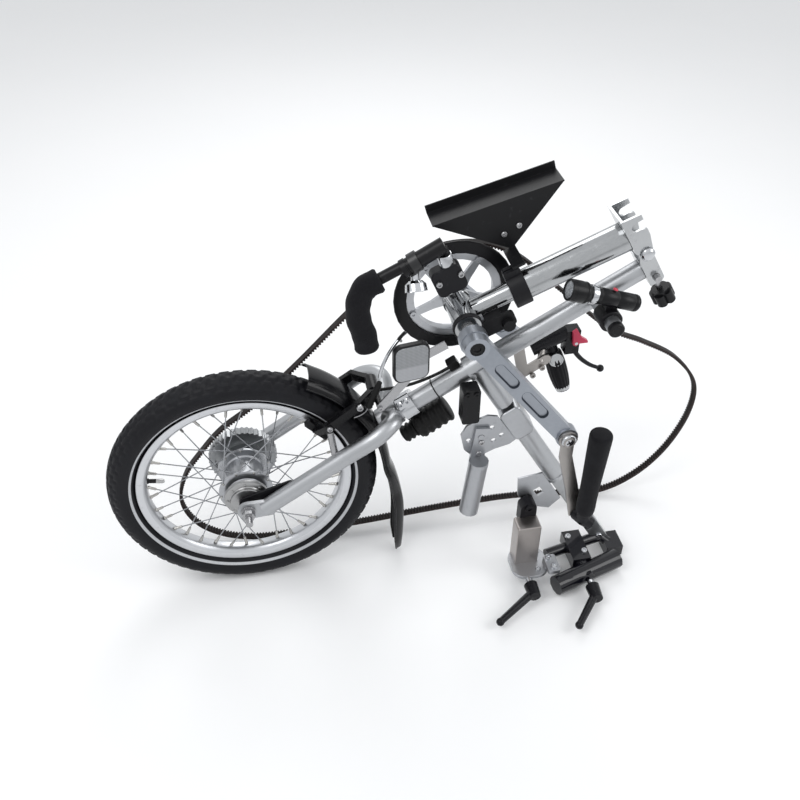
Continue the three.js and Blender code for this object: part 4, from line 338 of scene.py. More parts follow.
tyre_rubber, nodes = finish("tyre_rubber")
x, y, z = nodes.where()
from_axle = (x * x + z * z) ** 0.5
off_middle = (y - axle_half / 1000).size()
on_side = off_middle.rise(0.0125, 0.0145)
stripe_from, stripe_to, track_from, track_to, edge_blur = 0.1650, 0.1684, 0.1485, 0.1572, 0.0003
stripe = from_axle.band(stripe_from, stripe_to, edge_blur) * on_side
dust = nodes.noise(60, 5).rise(0.42, 0.75)
rings = (from_axle * 2600).sine() * on_side * (1 - stripe)
glint = nodes.cells(900)
rubber_tone = nodes.blend(dust * 0.5, (0.005, 0.005, 0.007), (0.014, 0.015, 0.018))
rubber_tone = nodes.blend(stripe, rubber_tone, nodes.blend(glint, (0.62, 0.63, 0.65), (0.42, 0.43, 0.45)))
rubber_bump = nodes.bump(rings * 0.25 + nodes.noise(700, 2) * 0.5 + stripe * 1.2, 0.0002)
nodes.surface({"Base Color": rubber_tone, "Roughness": dust * 0.2 + 0.5 - stripe * 0.2, "Normal": rubber_bump,
               "Specular IOR Level": 0.2})
built("tyre_ring", [tyre_shape()], tyre_rubber, "wheel", ["tyre"], sharp=50)

# Rim: a deep double-wall ring, drawn in aluminium, pinned at its joint and polished; its flanks are turned
# where the brake pads run. The valve stands at the rim's far left. Metals get their shared recipe here.


def metal(name, colour, roughness, grain=(1, 1, 1), shade=0.72, marks=0.12, depth=0.00003):
    """Metal with a cloudy tone, fine drawn lines along its grain and rubbed marks."""
    material, nodes = finish(name)
    cloud = nodes.noise(16, 4)
    lines = nodes.noise(330, 3, grain)
    rubbed = nodes.noise(95, 7).rise(0.56, 0.72)
    tone = nodes.blend(cloud * 0.55 + lines * 0.45, tuple(part * shade for part in colour), colour)
    tone = nodes.blend(rubbed * marks, tone, tuple(part * 0.6 for part in colour))
    rough = cloud * 0.1 + lines * 0.12 + rubbed * 0.14 + (roughness - 0.1)
    nodes.surface({"Base Color": tone, "Metallic": 1.0, "Roughness": rough,
                   "Normal": nodes.bump(lines * 0.7 + rubbed * 0.3, depth)})
    return material


rim_finish, nodes = finish("rim_aluminium")
x, _, z = nodes.where()
from_axle = (x * x + z * z) ** 0.5
track = from_axle.band(track_from, track_to, edge_blur)
turned_lines = nodes.noise(300, 3, (1, 6, 1))
grooves = (from_axle * 9000).sine() * track
cloud = nodes.noise(22, 4)
rim_tone = nodes.blend(cloud, (0.46, 0.47, 0.49), (0.60, 0.61, 0.63))
rim_tone = nodes.blend(track * 0.6, rim_tone, (0.66, 0.67, 0.69))
rim_tone = nodes.blend(nodes.noise(120, 6).rise(0.6, 0.72) * 0.2, rim_tone, (0.26, 0.26, 0.27))
nodes.surface({"Base Color": rim_tone, "Metallic": 1.0, "Roughness": cloud * 0.16 + 0.2 + turned_lines * 0.05,
               "Normal": nodes.bump(grooves * 0.4 + nodes.noise(260, 3) * 0.2, 0.00004)})
rim_half = [(158.5, 13.5), (158.9, 12.9), (158.3, 11.6), (152.4, 10.7), (149.4, 5.0)]
rim_back = [(142.5, 5.0), (143.2, 7.6), (146.6, 11.6), (148.4, 12.9), (149.6, 13.3), (157.4, 13.6)]
rim_profile = rim_half + [(r, -s) for r, s in reversed(rim_half)]
rim_profile += [(r, -s) for r, s in reversed(rim_back)] + rim_back + [rim_half[0]]
built("rim_ring", [turn(rim_profile, (0, 0, 0), (0, 1, 0), 160)], rim_finish, "wheel", ["rim"],
      sharp=32)

valve_turn, valve_seat = math.radians(170.8), 142.8
valve_line = Vector((math.cos(valve_turn), 0, math.sin(valve_turn)))
valve_metal = metal("valve_metal", (0.50, 0.50, 0.50), 0.25)
stem_rubber, nodes = finish("valve_rubber")
nodes.surface({"Base Color": nodes.blend(nodes.noise(300), (0.006, 0.006, 0.007), (0.016, 0.016, 0.018)),
               "Roughness": 0.5, "Specular IOR Level": 0.2, "Normal": nodes.bump(nodes.noise(900), 0.0001)})
stem_profile = [(0, 0), (4.2, 0), (4.2, 2.4), (3.2, 2.8), (3.2, 14), (0, 14)]
built("valve_stem", [turn(stem_profile, valve_line * valve_seat, -valve_line, 20)], stem_rubber, "wheel",
      sharp=40)
tip_profile = [(0, 13), (3.4, 13), (3.5, 22), (2.5, 25), (0, 25.6)]
built("valve_tip", [turn(tip_profile, valve_line * valve_seat, -valve_line, 20)], valve_metal, "wheel",
      sharp=40)

# Hub and spokes: a turned shell with two drilled flanges, thirty-six butted steel spokes laced over each
# other and plated nipples seated in the rim.
hub_finish = metal("hub_aluminium", (0.44, 0.45, 0.47), 0.28, (1, 8, 1))


def mirrored(half):
    """A closed profile whose other half is the mirror image of this one."""
    return half + [(radius, -along) for radius, along in reversed(half)] + half[:1]


hub_profile = mirrored([(5.3, -34), (19, -34), (20, -33), (24, -29), (27, -26), (38.6, -26), (40, -25.2),
                        (40, -22.8), (38.6, -22), (29, -22), (27, -20), (26, -12)])
built("hub_shell", [turn(hub_profile, (0, 0, 0), (0, 1, 0), 72)], hub_finish, "wheel", ["spoked_hub"],
      sharp=35)
spoke_count, spoke_lean, flange_radius, flange_half, rim_seat = 36, math.radians(52), 40.0, 24.0, 142.1


def spoke_lines():
    for i in range(spoke_count):
        side, cross = 1 if i % 2 == 0 else -1, 1 if i % 4 < 2 else -1
        rim_turn = (i + 0.5) / spoke_count * math.tau
        hub_turn = rim_turn + cross * spoke_lean
        foot = Vector((math.cos(hub_turn), 0, math.sin(hub_turn))) * (flange_radius - 2.4)
        tip = Vector((math.cos(rim_turn), 0, math.sin(rim_turn))) * rim_seat
        yield foot + Vector((0, side * (flange_half + cross * 2), 0)), tip + Vector((0, side * 1.8, 0)), side


spokes, nipples, spoke_heads = [], [], []
for foot, tip, side in spoke_lines():
    line = tip - foot
    length = line.length
    spokes.append(turn([(0, 0), (1.0, 0), (1.0, 10), (0.85, 14), (0.85, length - 16), (1.0, length - 10),
                        (0, length - 10)],
                       foot, line, 8))
    nipples.append(turn([(0, length - 13), (1.5, length - 13), (2.0, length - 11.5), (2.1, length - 3),
                         (2.8, length - 2), (2.8, length), (0, length)], foot, line, 10))
    spoke_heads.append(turn([(0, -1.4), (1.5, -1.2), (2.0, 0), (1.5, 1.2), (0, 1.4)], foot, (0, side, 0), 10))
# The spokes' steel is a darker grey than the other metals: painted shade for the shade that falls on them.
spoke_steel_painted_shade = metal("spoke_steel_painted_shade", (0.38, 0.39, 0.41), 0.24)
built("spokes", spokes, spoke_steel_painted_shade, "wheel", sharp=38)
built("spoke_nipples", nipples + spoke_heads, metal("nipple_plate", (0.49, 0.48, 0.46), 0.22), "wheel",
      sharp=38)

# Axle nuts, brake drum cover and belt sprocket sit on the hub axle: plated steel nuts, a pressed cover with a
# black torque arm bolted to the fork, and a turned aluminium sprocket on the far side.


def kept(node, coat, edge=0.4, sharp=39, steps=2, flat_faces=False):
    """A drawn part keeps its shape and gets its finish, welded facets and slightly rounded edges."""
    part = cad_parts[node]
    part.data.materials.clear()
    part.data.materials.append(coat)
    for face in part.data.polygons:
        face.use_smooth = not flat_faces
        face.material_index = 0
    weld = part.modifiers.new("weld", "WELD")
    weld.merge_threshold = 0.000002
    flat = part.modifiers.new("whole faces", "DECIMATE")
    flat.decimate_type, flat.angle_limit = "DISSOLVE", math.radians(0.6)
    soften(part, edge, sharp, steps)
    return part


plated = metal("plated_steel", (0.43, 0.43, 0.44), 0.26)
cover_steel = metal("cover_steel", (0.41, 0.41, 0.41), 0.3, (1, 6, 1))
kept("axle", plated)
drum_profile = [(5.6, -47.6), (22.8, -47.6), (24, -46.8), (24, -43.4), (25, -42.2), (31, -41.6),
                (32.6, -40.8), (33, -39.8), (33, -35.6), (32.6, -35.2), (5.6, -35.2), (5.6, -47.6)]
drum_screws = [turn([(0, -0.3), (2.2, -0.3), (2.2, 0.9), (1.4, 1.5), (0, 1.5)],
                    Vector((28 * math.cos(t), -41.9, 28 * math.sin(t))), (0, -1, 0), 14)
               for t in [math.tau * i / 8 for i in range(8)]]
built("drum_cover", [turn(drum_profile, (0, 0, 0), (0, 1, 0), 64), *drum_screws], cover_steel, "frame",
      ["hub_brake_drum"], sharp=30)
kept("rear_belt_wheel", metal("sprocket_aluminium", (0.37, 0.38, 0.39), 0.34), 0.2)


def coated(name, colour, roughness, grit=420, depth=0.00006, coat=0.0, worn=(0.045, 0.046, 0.05), wear=0.25):
    """A coat of paint or a moulded skin: fine grit, cloudy gloss and rubbed places."""
    material, nodes = finish(name)
    cloud = nodes.noise(24, 4)
    grain = nodes.noise(grit, 2)
    rubbed = nodes.noise(130, 6).rise(0.6, 0.74)
    tone = nodes.blend(cloud, tuple(part * 0.7 for part in colour), tuple(part * 1.25 for part in colour))
    tone = nodes.blend(rubbed * wear, tone, worn)
    nodes.surface({"Base Color": tone, "Roughness": cloud * 0.14 + grain * 0.08 + (roughness - 0.1),
                   "Coat Weight": coat, "Normal": nodes.bump(grain * 0.8 + rubbed * 0.2, depth),
                   "Specular IOR Level": 0.2})
    return material


black_coat = coated("black_powder_coat", (0.007, 0.007, 0.009), 0.38)
kept("torque_arm", black_coat)

# Fork: two round tubes bent inward above the wheel and welded to a turned crown, with flat dropouts at the
# axle. Satin aluminium with fine lines along the tubes.


def smooth(places, steps, closed=False):
    """Places on a smooth line through the given ones."""
    places = [Vector(place) for place in places]
    count = len(places)
    if closed:
        ends = [places[-1], *places, places[0], places[1]]
    else:
        ends = [2 * places[0] - places[1], *places, 2 * places[-1] - places[-2]]
    line = []
    for i in range(count if closed else count - 1):
        a, b, c, d = ends[i:i + 4]
        ab, bc, cd = (b - a).length ** 0.5, (c - b).length ** 0.5, (d - c).length ** 0.5
        leave = ((b - a) / ab - (c - a) / (ab + bc) + (c - b) / bc) * bc
        meet = ((c - b) / bc - (d - b) / (bc + cd) + (d - c) / cd) * bc
        for k in range(steps):
            t = k / steps
            line.append(b + leave * t + (3 * (c - b) - 2 * leave - meet) * t * t
                        + (2 * (b - c) + leave + meet) * t ** 3)
    if not closed:
        line.append(places[-1])
    return line


def sweep(line, radius, sides=20):
    """A round bar along a line; radius is one value or one for each place."""
    count = len(line)
    radii = radius if isinstance(radius, list) else [radius] * count
    points, faces = [], []
    up = (line[1] - line[0]).orthogonal().normalized()
    for i, place in enumerate(line):
        ahead = (line[min(i + 1, count - 1)] - line[max(i - 1, 0)]).normalized()
        up = (up - ahead * up.dot(ahead)).normalized()
        side = ahead.cross(up)
        for k in range(sides):
            angle = math.tau * k / sides
            points.append(place + (up * math.cos(angle) + side * math.sin(angle)) * radii[i])
    for i in range(count - 1):
        for k in range(sides):
            n = (k + 1) % sides
            faces.append([i * sides + k, i * sides + n, (i + 1) * sides + n, (i + 1) * sides + k])
    faces += [list(range(sides)), [(count - 1) * sides + k for k in range(sides)]]
    return points, faces


def prism(outline, thickness, centre, along, across):
    """A plate of even thickness whose outline lies across the two directions."""
    centre, along = Vector(centre), Vector(along).normalized()
    out = along.cross(Vector(across)).normalized()
    across = out.cross(along)
    count = len(outline)
    points = [centre + along * u + across * v + out * (side * thickness / 2)
              for side in (-1, 1) for u, v in outline]
    faces = [list(range(count))[::-1], list(range(count, 2 * count))]
    faces += [[i, (i + 1) % count, count + (i + 1) % count, count + i] for i in range(count)]
    return points, faces


def arc(centre, radius, start, end, steps=10):
    angles = [math.radians(start + (end - start) * i / steps) for i in range(steps + 1)]
    return [(centre[0] + radius * math.cos(a), centre[1] + radius * math.sin(a)) for a in angles]


def rounded(width, height, corner, steps=8):
    w, h = width / 2 - corner, height / 2 - corner
    corners = (((w, -h), -90), ((w, h), 0), ((-w, h), 90), ((-w, -h), 180))
    return [place for centre, start in corners for place in arc(centre, corner, start, start + 90, steps)]


main_slope, main_start = math.radians(30.5), Vector((236, 0, 99))
main_line = Vector((math.cos(main_slope), 0, math.sin(main_slope)))
main_up = Vector((-main_line.z, 0, main_line.x))


def on_main(along, across=0.0, up=0.0):
    return main_start + main_line * along + main_up * up + Vector((0, across, 0))


tube_grain = (0.25, 3, 0.4)
satin = metal("satin_aluminium", (0.44, 0.45, 0.465), 0.36, tube_grain, 0.86, 0.05, depth=0.000006)
crown_length, blade_radius = 34, 12.5
crown_foot = on_main(-crown_length * 0.62)
fork_shapes = []
for side, spread in ((-1, 65), (1, 79)):
    foot, bend = Vector((24, side * spread, 0)), Vector((195, side * spread, 112))
    shoulder = Vector(((bend.x + crown_foot.x) / 2 + blade_radius, side * spread * 0.72,
                       (bend.z + crown_foot.z) / 2 + blade_radius * 1.6))
    neck = Vector((crown_foot.x, side * blade_radius / 2, crown_foot.z + blade_radius / 3))
    line = smooth([foot, foot.lerp(bend, 0.35), foot.lerp(bend, 0.7), bend, shoulder, neck], 10)
    fork_shapes.append(sweep(line, blade_radius, 36))
    tab = arc((0, 0), 15, 90, 270, 14) + [(36.5, -12.5), (49, 12.5), (24, 15)]
    fork_shapes.append(prism(tab, 6, (0, side * spread, 0), (1, 0, 0), (0, 0, 1)))
fork_shapes.append(turn([(0, -crown_length), (17.5, -crown_length), (18.5, -crown_length + 1), (18.5, -1.3),
                         (17.5, -0.3), (0, -0.3)], main_start, main_line, 48))
built("fork_tubes", fork_shapes, satin, "frame", ["fork"])

# Main tube: a straight drawn aluminium tube from the crown to the hinge, held by a split chrome collar with
# two bolts. A short cross stub with a black end cap carries the lamp.
tube_radius, tube_bore, tube_length = 14.6, 12.1, 395.7
stub_radius, stub_along, stub_reach = 11, 324, 86
built("main_tube_skin", [
    turn([(tube_bore, 0), (tube_radius - 0.4, 0), (tube_radius, 0.4), (tube_radius, tube_length),
          (tube_bore, tube_length), (tube_bore, 0)], main_start, main_line, 64),
    turn([(0, tube_bore + 0.4), (stub_radius, tube_bore + 0.4), (stub_radius, 79.6),
          (stub_radius - 0.6, 80.2), (8, 80.4), (8, stub_reach), (0, stub_reach)], on_main(stub_along),
          (0, -1, 0), 48)],
    satin, "frame", ["main_tube"], sharp=32)
chrome = metal("chrome", (0.58, 0.59, 0.61), 0.12, marks=0.1)
kept("crown_collar", chrome, 0.5)
stub_end = on_main(stub_along, -stub_reach)
stub_plastic = coated("stub_cap_plastic", (0.006, 0.006, 0.007), 0.3)
stub_cap_profile = [(0, -6.2), (11.2, -6.2), (11.4, -5.4), (11.2, 0), (9.6, 1.4), (6.5, 1.6), (6, 1.0),
                    (0, 1.0)]
built("stub_cap", [turn(stub_cap_profile, stub_end, (0, -1, 0), 40)], stub_plastic, "frame")

# Hinge: two folded and polished aluminium channels that nest when the mast stands up. A domed pin joins them,
# and a swing bolt with a star knob locks them.
polished = metal("polished_aluminium", (0.46, 0.47, 0.48), 0.14, (0.5, 2, 0.5), 0.62, 0.1)
channel = metal("channel_aluminium", (0.49, 0.50, 0.51), 0.2, (2, 0.4, 0.6), 0.75, 0.12)
for node in ("hinge_bracket", "mast_bracket"):
    kept(node, channel, 0.7, flat_faces=True)
kept("hinge_pin", chrome, 0.6)
kept("swing_bolt", plated, 0.4)
star_plastic = coated("star_knob_plastic", (0.006, 0.006, 0.007), 0.34, 300)
kept("star_knob", star_plastic, 1.0, 45, 3)

# Mast: the outer tube is polished, the inner tube slides in it and carries the crank housing. A split black
# collar clamps the two and holds the folded sheet tray that covers the belt.
crank_x, crank_z = 324, 258
hinge_along, mast_root_up = 396, 63.5
mast_reach = on_main(hinge_along, 0, mast_root_up) - Vector((crank_x, 0, crank_z))
mast_length, mast_line = mast_reach.length, mast_reach.normalized()
mast_up = Vector((-mast_line.z, 0, mast_line.x))
mast_radius, mast_bore, inner_radius, collar_at = 21, 18, 14, 84


def on_mast(along, across=0.0, up=0.0):
    return Vector((crank_x, across, crank_z)) + mast_line * along + mast_up * up


def ended(shape, edge, line):
    """The shape with what lies past the edge along the main tube drawn back onto it."""
    points, faces = shape
    kept_points = []
    for point in points:
        past = (point - on_main(edge)).dot(main_line)
        kept_points.append(point - line * (past / line.dot(main_line)) if past > 0 else point)
    return kept_points, faces


outer_profile = [(inner_radius + 0.3, collar_at), (mast_radius - 0.5, collar_at),
                 (mast_radius, collar_at + 0.5), (mast_radius, mast_length + mast_radius),
                 (mast_bore, mast_length + mast_radius), (mast_bore, 105), (inner_radius + 0.3, 105),
                 (inner_radius + 0.3, collar_at)]
built("mast_outer_skin", [ended(turn(outer_profile, on_mast(0), mast_line, 64), tube_length, mast_line)],
      polished, "mast", ["mast_outer"], sharp=32)
housing_profile = mirrored([(9.3, -36), (18.6, -36), (19.6, -35.4), (20, -34.6), (20, -28.4), (19.4, -27.8),
                            (18.3, -27), (18, -26)])
built("mast_inner_skin", [
    turn(housing_profile, on_mast(0), (0, 1, 0), 64),
    turn([(0, 16), (inner_radius, 16), (inner_radius, mast_length - 81), (inner_radius - 1, mast_length - 80),
          (0, mast_length - 80)], on_mast(0), mast_line, 64)], polished, "slide", ["mast_inner"],
          sharp=32)
seal_profile = [(19, -36.6), (20.2, -36.4), (20.9, -35.6), (20.9, -28.8), (20.2, -28), (19, -27.8),
                (19, -36.6)]
built("housing_seal", [turn(seal_profile, on_mast(0), (0, 1, 0), 64)], black_coat, "slide")
collar_profile = [(14.3, -12), (25.2, -12), (26, -11.2), (26, 11.2), (25.2, 12), (21.3, 12), (21.3, -0.3),
                  (14.3, -0.3), (14.3, -12)]
collar_shapes = [turn(collar_profile, on_mast(collar_at), mast_line, 64)]
for side in (-1, 1):
    collar_shapes.append(prism(rounded(24, 16, 4), 6.8, on_mast(collar_at, side * 4.6, 26), mast_line,
                               mast_up))
built("mast_clamp_collar", collar_shapes, black_coat, "mast", ["mast_collar"], edge=0.7)
tray_black = coated("tray_powder_coat", (0.008, 0.008, 0.009), 0.42, 520, 0.00008)
kept("guard_tray", tray_black, 0.6, flat_faces=True)


def screw_heads(seats, outward, radius, height):
    """Cap screws with a rounded head and a socket."""
    profile = [(0, -0.4), (radius, -0.4), (radius, height * 0.7), (radius * 0.86, height),
               (radius * 0.52, height), (radius * 0.48, height * 0.45), (0, height * 0.45)]
    return [turn(profile, seat, outward, 18) for seat in seats]


tray_seats = [(crank_x + x, 38, crank_z + z) for x, z in ((63.5, 96.5), (83.6, 108.1))]
tray_screws = screw_heads(tray_seats, (0, -1, 0), 4.2, 2.6)
built("tray_screws", tray_screws, plated, "mast")

# Clamp block and support handle: a black cast block on the housing, a telescoping black tube and a thick foam
# grip pulled over its bent end. A chrome bell hangs from the tube.
block_black = coated("block_coat", (0.006, 0.006, 0.008), 0.3, 260)
block_centre = Vector((crank_x - 27, -21, crank_z + 74))
post_foot = on_mast(0) + Vector((-0.34, 0, 0.94)) * 17.7
built("clamp_block_body", [
    prism(rounded(42, 42, 9), 18, block_centre, mast_line, mast_up)], block_black, "slide", ["clamp_block"],
    edge=2.2, steps=4)
built("clamp_block_post", [sweep([block_centre - Vector((0, 0, 16)), post_foot], 10.5, 40)], chrome, "slide")
sleeve_line = [block_centre + Vector((-2, 2, 17)), block_centre + Vector((-6.5, 2, 36))]
sleeve_length = (sleeve_line[1] - sleeve_line[0]).length
sleeve_profile = [(0, 0), (10, 0), (10, sleeve_length - 1), (9.4, sleeve_length), (0, sleeve_length)]
built("clamp_block_sleeve", [turn(sleeve_profile, sleeve_line[0], sleeve_line[1] - sleeve_line[0], 40)],
      chrome, "slide")
kept("support_tube", coated("support_coat", (0.006, 0.006, 0.007), 0.3, 300), 0.8)
bell_finish, nodes = finish("bell_chrome")
support_start = Vector((crank_x - 34, -20, crank_z + 124))
support_joint = Vector((crank_x - 88, -20, crank_z + 94))
band_line = (support_joint - support_start).normalized()
origin = Vector((support_start.x, support_start.y + axle_half, support_start.z)) / 1000
from_start = nodes.vector("SUBTRACT", nodes.place(), origin)
along = nodes.vector("DOT_PRODUCT", from_start, band_line, "Value")
reach = nodes.vector("DOT_PRODUCT", from_start, from_start, "Value")
band = 1 - (reach - along * along).rise(0.0145 ** 2, 0.0155 ** 2)
marks = nodes.noise(60, 4)
nodes.surface({"Base Color": nodes.blend(band, nodes.blend(marks, (0.50, 0.51, 0.53), (0.60, 0.61, 0.63)),
                                         (0.006, 0.006, 0.007)),
               "Metallic": 1 - band, "Roughness": marks * 0.1 + band * 0.2 + 0.08,
               "Normal": nodes.bump(nodes.noise(300), 0.00002)})
kept("bell", bell_finish, 0.4)
kept("tensioner", coated("tensioner_coat", (0.007, 0.007, 0.008), 0.4), 0.8)
block_seats = [block_centre + Vector((0, -9, 4)) + mast_line * (side * 15.5) for side in (-1, 1)]
built("block_screws", screw_heads(block_seats, (0, -1, 0), 4.4, 3.6), plated, "slide")

foam, nodes = finish("black_foam")
pores = nodes.cells(1100)
lumps = nodes.noise(120, 4)
skin = nodes.noise(40, 3).rise(0.4, 0.7)
foam_tone = nodes.blend(pores * 1.3, (0.003, 0.003, 0.004), (0.012, 0.012, 0.014))
foam_tone = nodes.blend(skin * 0.3, foam_tone, (0.018, 0.018, 0.021))
nodes.surface({"Base Color": foam_tone, "Roughness": lumps * 0.15 + 0.82,
               "Normal": nodes.bump(pores * 0.8 + lumps * 1.2, 0.0004), "Specular IOR Level": 0.12,
               "Sheen Weight": 0.05, "Sheen Roughness": 0.5})
elbow = Vector((crank_x - 136, -20, crank_z + 74))
grip_radius = 17
grip_turns = [(18.7, 0, 7.8), (-1, -2, -1), (-11, -6, -19), (-12, -10, -44), (-6, -14, -66), (-3, -18, -88)]
grip_line = smooth([elbow + Vector(offset) for offset in grip_turns], 12)
grip_radii = []
for i in range(len(grip_line)):
    share = i / (len(grip_line) - 1)
    end = min(share, 1 - share) * (len(grip_line) - 1)
    swell = 1 - 0.05 * math.sin(share * math.pi * 5) ** 2
    grip_radii.append(grip_radius * swell * (0.86 if end < 0.5 else 0.95 if end < 1.5 else 1.0))
support_grip = built("support_foam", [sweep(grip_line, grip_radii, 36)], foam, "slide", ["support_grip"],
                     sharp=60)

# Crank: a bright axle, a belt pulley on a five-armed spider, a black guard ring, and two forged arms. Each
# arm has two oval recesses whose walls are darkened with painted shade, and a cap over its bolt.
kept("crank_axle", plated)
kept("front_pulley", metal("pulley_aluminium", (0.47, 0.48, 0.50), 0.3, (0.4, 0.4, 0.4), 0.86, 0.05,
                           depth=0.000006), 0.25)
kept("belt_guard_ring", coated("guard_ring_plastic", (0.006, 0.006, 0.007), 0.3), 0.5)
arm_turn, arm_reach, arm_rise = math.atan2(-154, 134), 197, 47
recesses, recess_width = [(70, 44), (131, 50)], 15
arm_sides = (("near", -1, -63), ("far", 1, 78))


def arm_finish(name, side, boss_y):
    """Blued satin aluminium with painted shade along the walls of its recesses."""
    material, nodes = finish(name)
    start = Vector((crank_x, boss_y, crank_z))
    reach = math.hypot(arm_reach, arm_rise) * math.cos(math.atan2(arm_rise, arm_reach))
    end = Vector((crank_x + reach * math.cos(arm_turn), boss_y + side * arm_rise,
                  crank_z + reach * math.sin(arm_turn)))
    along = (end - start).normalized()
    across = along.cross(Vector((0, side, 0))).normalized()
    place = nodes.place()
    origin = Vector((start.x, start.y + axle_half, start.z)) / 1000
    u = nodes.vector("DOT_PRODUCT", place, along, "Value") - origin.dot(along)
    v = nodes.vector("DOT_PRODUCT", place, across, "Value") - origin.dot(across)
    # Painted shade: a dark band along each recess wall stands in for the shade inside the recess.
    recess_painted_shade = 0
    for at_place, long_size in recesses:
        straight = (long_size - recess_width) / 2000
        off = ((u - at_place / 1000).size() - straight).larger(0)
        distance = (off * off + v * v) ** 0.5
        recess_painted_shade = distance.band(0.0062, 0.0079, 0.0004) + recess_painted_shade
    cloud = nodes.noise(20, 4)
    lines = nodes.noise(360, 3, (0.6, 1, 0.6))
    rubbed = nodes.noise(100, 6).rise(0.58, 0.72)
    tone = nodes.blend(cloud * 0.6 + lines * 0.4, (0.25, 0.27, 0.30), (0.37, 0.39, 0.43))
    tone = nodes.blend(rubbed * 0.1, tone, (0.46, 0.48, 0.51))
    # The recess walls get a dark tone here: painted shade, also made a little rougher.
    tone = nodes.blend(recess_painted_shade, tone, (0.07, 0.08, 0.10))
    nodes.surface({"Base Color": tone, "Metallic": 0.9,
                   "Roughness": cloud * 0.14 + lines * 0.08 + recess_painted_shade * 0.3 + 0.24,
                   "Normal": nodes.bump(lines * 0.6 + rubbed * 0.4, 0.00003)})
    return material, end


cap_black = coated("crank_cap_plastic", (0.005, 0.005, 0.006), 0.3)
cap_profile, arm_ends = [(0, 0), (10.2, 0), (10.2, 1.6), (9.4, 2.6), (5.2, 2.8), (4.6, 1.4), (0, 1.4)], []
for name, side, boss_y in arm_sides:
    arm_coat, arm_end = arm_finish(name + "_arm_aluminium", side, boss_y)
    arm_ends.append(arm_end)
    kept(name + "_crank_arm", arm_coat, 1.2, 39, 3)
    face = Vector((crank_x, boss_y + side * 18.2, crank_z))
    built(name + "_crank_cap", [turn(cap_profile, face, (0, side, 0), 40)], cap_black, "crank")
near_end = arm_ends[0]

# Near handle: a strap bent from stainless flat bar turns on the end of the arm under a domed cap; a cast
# elbow holds the foam grip upright.
strap_steel = metal("strap_stainless", (0.38, 0.36, 0.345), 0.3, (3, 1, 0.3), 0.85, 0.06)
kept("near_handle_strap", strap_steel, 0.7)
strap_face = near_end.y - 6 - 0.6 - 4
strap_cap_shapes = [turn([(0, -0.5), (10.8, -0.5), (11, 0.6), (10.8, 4.8), (9.6, 6.6), (6, 7.6), (0, 8)],
                         (near_end.x, strap_face, near_end.z), (0, -1, 0), 48)]
built("strap_cap", strap_cap_shapes, chrome, "near_handle", sharp=50)
cross_place = Vector((near_end.x, strap_face - 7, near_end.z))
built("strap_cap_cross", [prism(rounded(9, 2, 0.9), 2.4, cross_place, (math.cos(t), 0, math.sin(t)),
                                (-math.sin(t), 0, math.cos(t))) for t in (0.5, 0.5 + math.pi / 2)],
      black_coat, "near_handle")
kept("near_handle_elbow", black_coat, 1.0)
grip_foot = Vector((near_end.x + 28, near_end.y - 43, near_end.z - 118))
grip_axis = Vector((5, 0, 152))
grip_shares = [(0, 0), (0.72, 0), (0.8, 0.012), (0.85, 0.04), (0.87, 0.1), (0.84, 0.2), (0.845, 0.32),
               (0.87, 0.45), (0.905, 0.58), (0.94, 0.7), (0.97, 0.82), (1.0, 0.93), (1.0, 0.965),
               (0.97, 0.985), (0.9, 0.996), (0.8, 1), (0, 1)]
grip_profile = [(16.2 * wide, grip_axis.length * along) for wide, along in grip_shares]
near_grip = built("near_foam", [turn(grip_profile, grip_foot, grip_axis, 48)], foam, "near_handle",
                  ["near_handle_grip"], sharp=60)

# Far handle: the same strap with a brake lever body clamped to its bar, a sprung lever with a ball end, a red
# parking latch and a ribbed twist shifter with a gear window.
kept("far_handle_strap", strap_steel, 0.7)
lever_black = coated("lever_coat", (0.007, 0.007, 0.009), 0.26, 300)
kept("brake_lever_body", lever_black, 1.2, 39, 3)
lever_pivot = Vector((560.5, 154, 58.5))
lever_bends = [(0, 0), (7, -13.5), (20, -30), (38, -45), (57, -55)]
lever_places = [lever_pivot + Vector((ahead, 0, up)) for ahead, up in lever_bends]
lever_line = smooth(lever_places, 10)
lever_ball = [(6.5 * math.sin(math.pi * i / 14), -6.5 * math.cos(math.pi * i / 14)) for i in range(15)]
lever_ball[0], lever_ball[-1] = (0, -6.5), (0, 6.5)
built("brake_lever_blade", [
    sweep(lever_line, [4.6 - 1.4 * i / len(lever_line) for i in range(len(lever_line))], 24),
    turn([(0, -4), (5.4, -4), (6, -3.4), (6, 3.4), (5.4, 4), (0, 4)], lever_pivot, (0, 1, 0), 28),
    turn([(0, -11), (2.4, -11), (2.4, 11), (0, 11)], lever_pivot, (0, 1, 0), 16),
    turn(lever_ball, lever_places[-1], lever_line[-1] - lever_line[-2], 28),
], lever_black, "lever", ["brake_lever"], sharp=45)
latch_red = coated("latch_plastic", (0.52, 0.035, 0.085), 0.3, 300, 0.00005, 0.2, (0.62, 0.12, 0.17), 0.3)
kept("parking_latch", latch_red, 0.9, 39, 3)
latch_pivot = Vector((559.4, 139.2, 76.5))
built("latch_rivet", [turn([(0, -3.9), (2.8, -3.7), (2.8, -3.2), (0, -3.2)], latch_pivot, (0, 1, 0), 20)],
      chrome, "latch")
shifter_from, shifter_to = Vector((529, 162, 47)), Vector((549, 140, -21))
shifter_line = shifter_to - shifter_from
shifter_shares = [(0, 0), (0.8, 0), (0.88, 0.02), (0.93, 0.1), (1.0, 0.3), (0.99, 0.5), (0.95, 0.66),
                  (0.86, 0.82), (0.72, 0.97), (0.66, 1.0), (0, 1.0)]
grip_rubber, nodes = finish("shifter_rubber")
nodes.surface({"Base Color": nodes.blend(nodes.noise(180, 4), (0.004, 0.004, 0.005), (0.011, 0.011, 0.013)),
               "Specular IOR Level": 0.15, "Roughness": nodes.noise(60) * 0.2 + 0.4,
               "Normal": nodes.bump(nodes.noise(700, 2), 0.00015)})


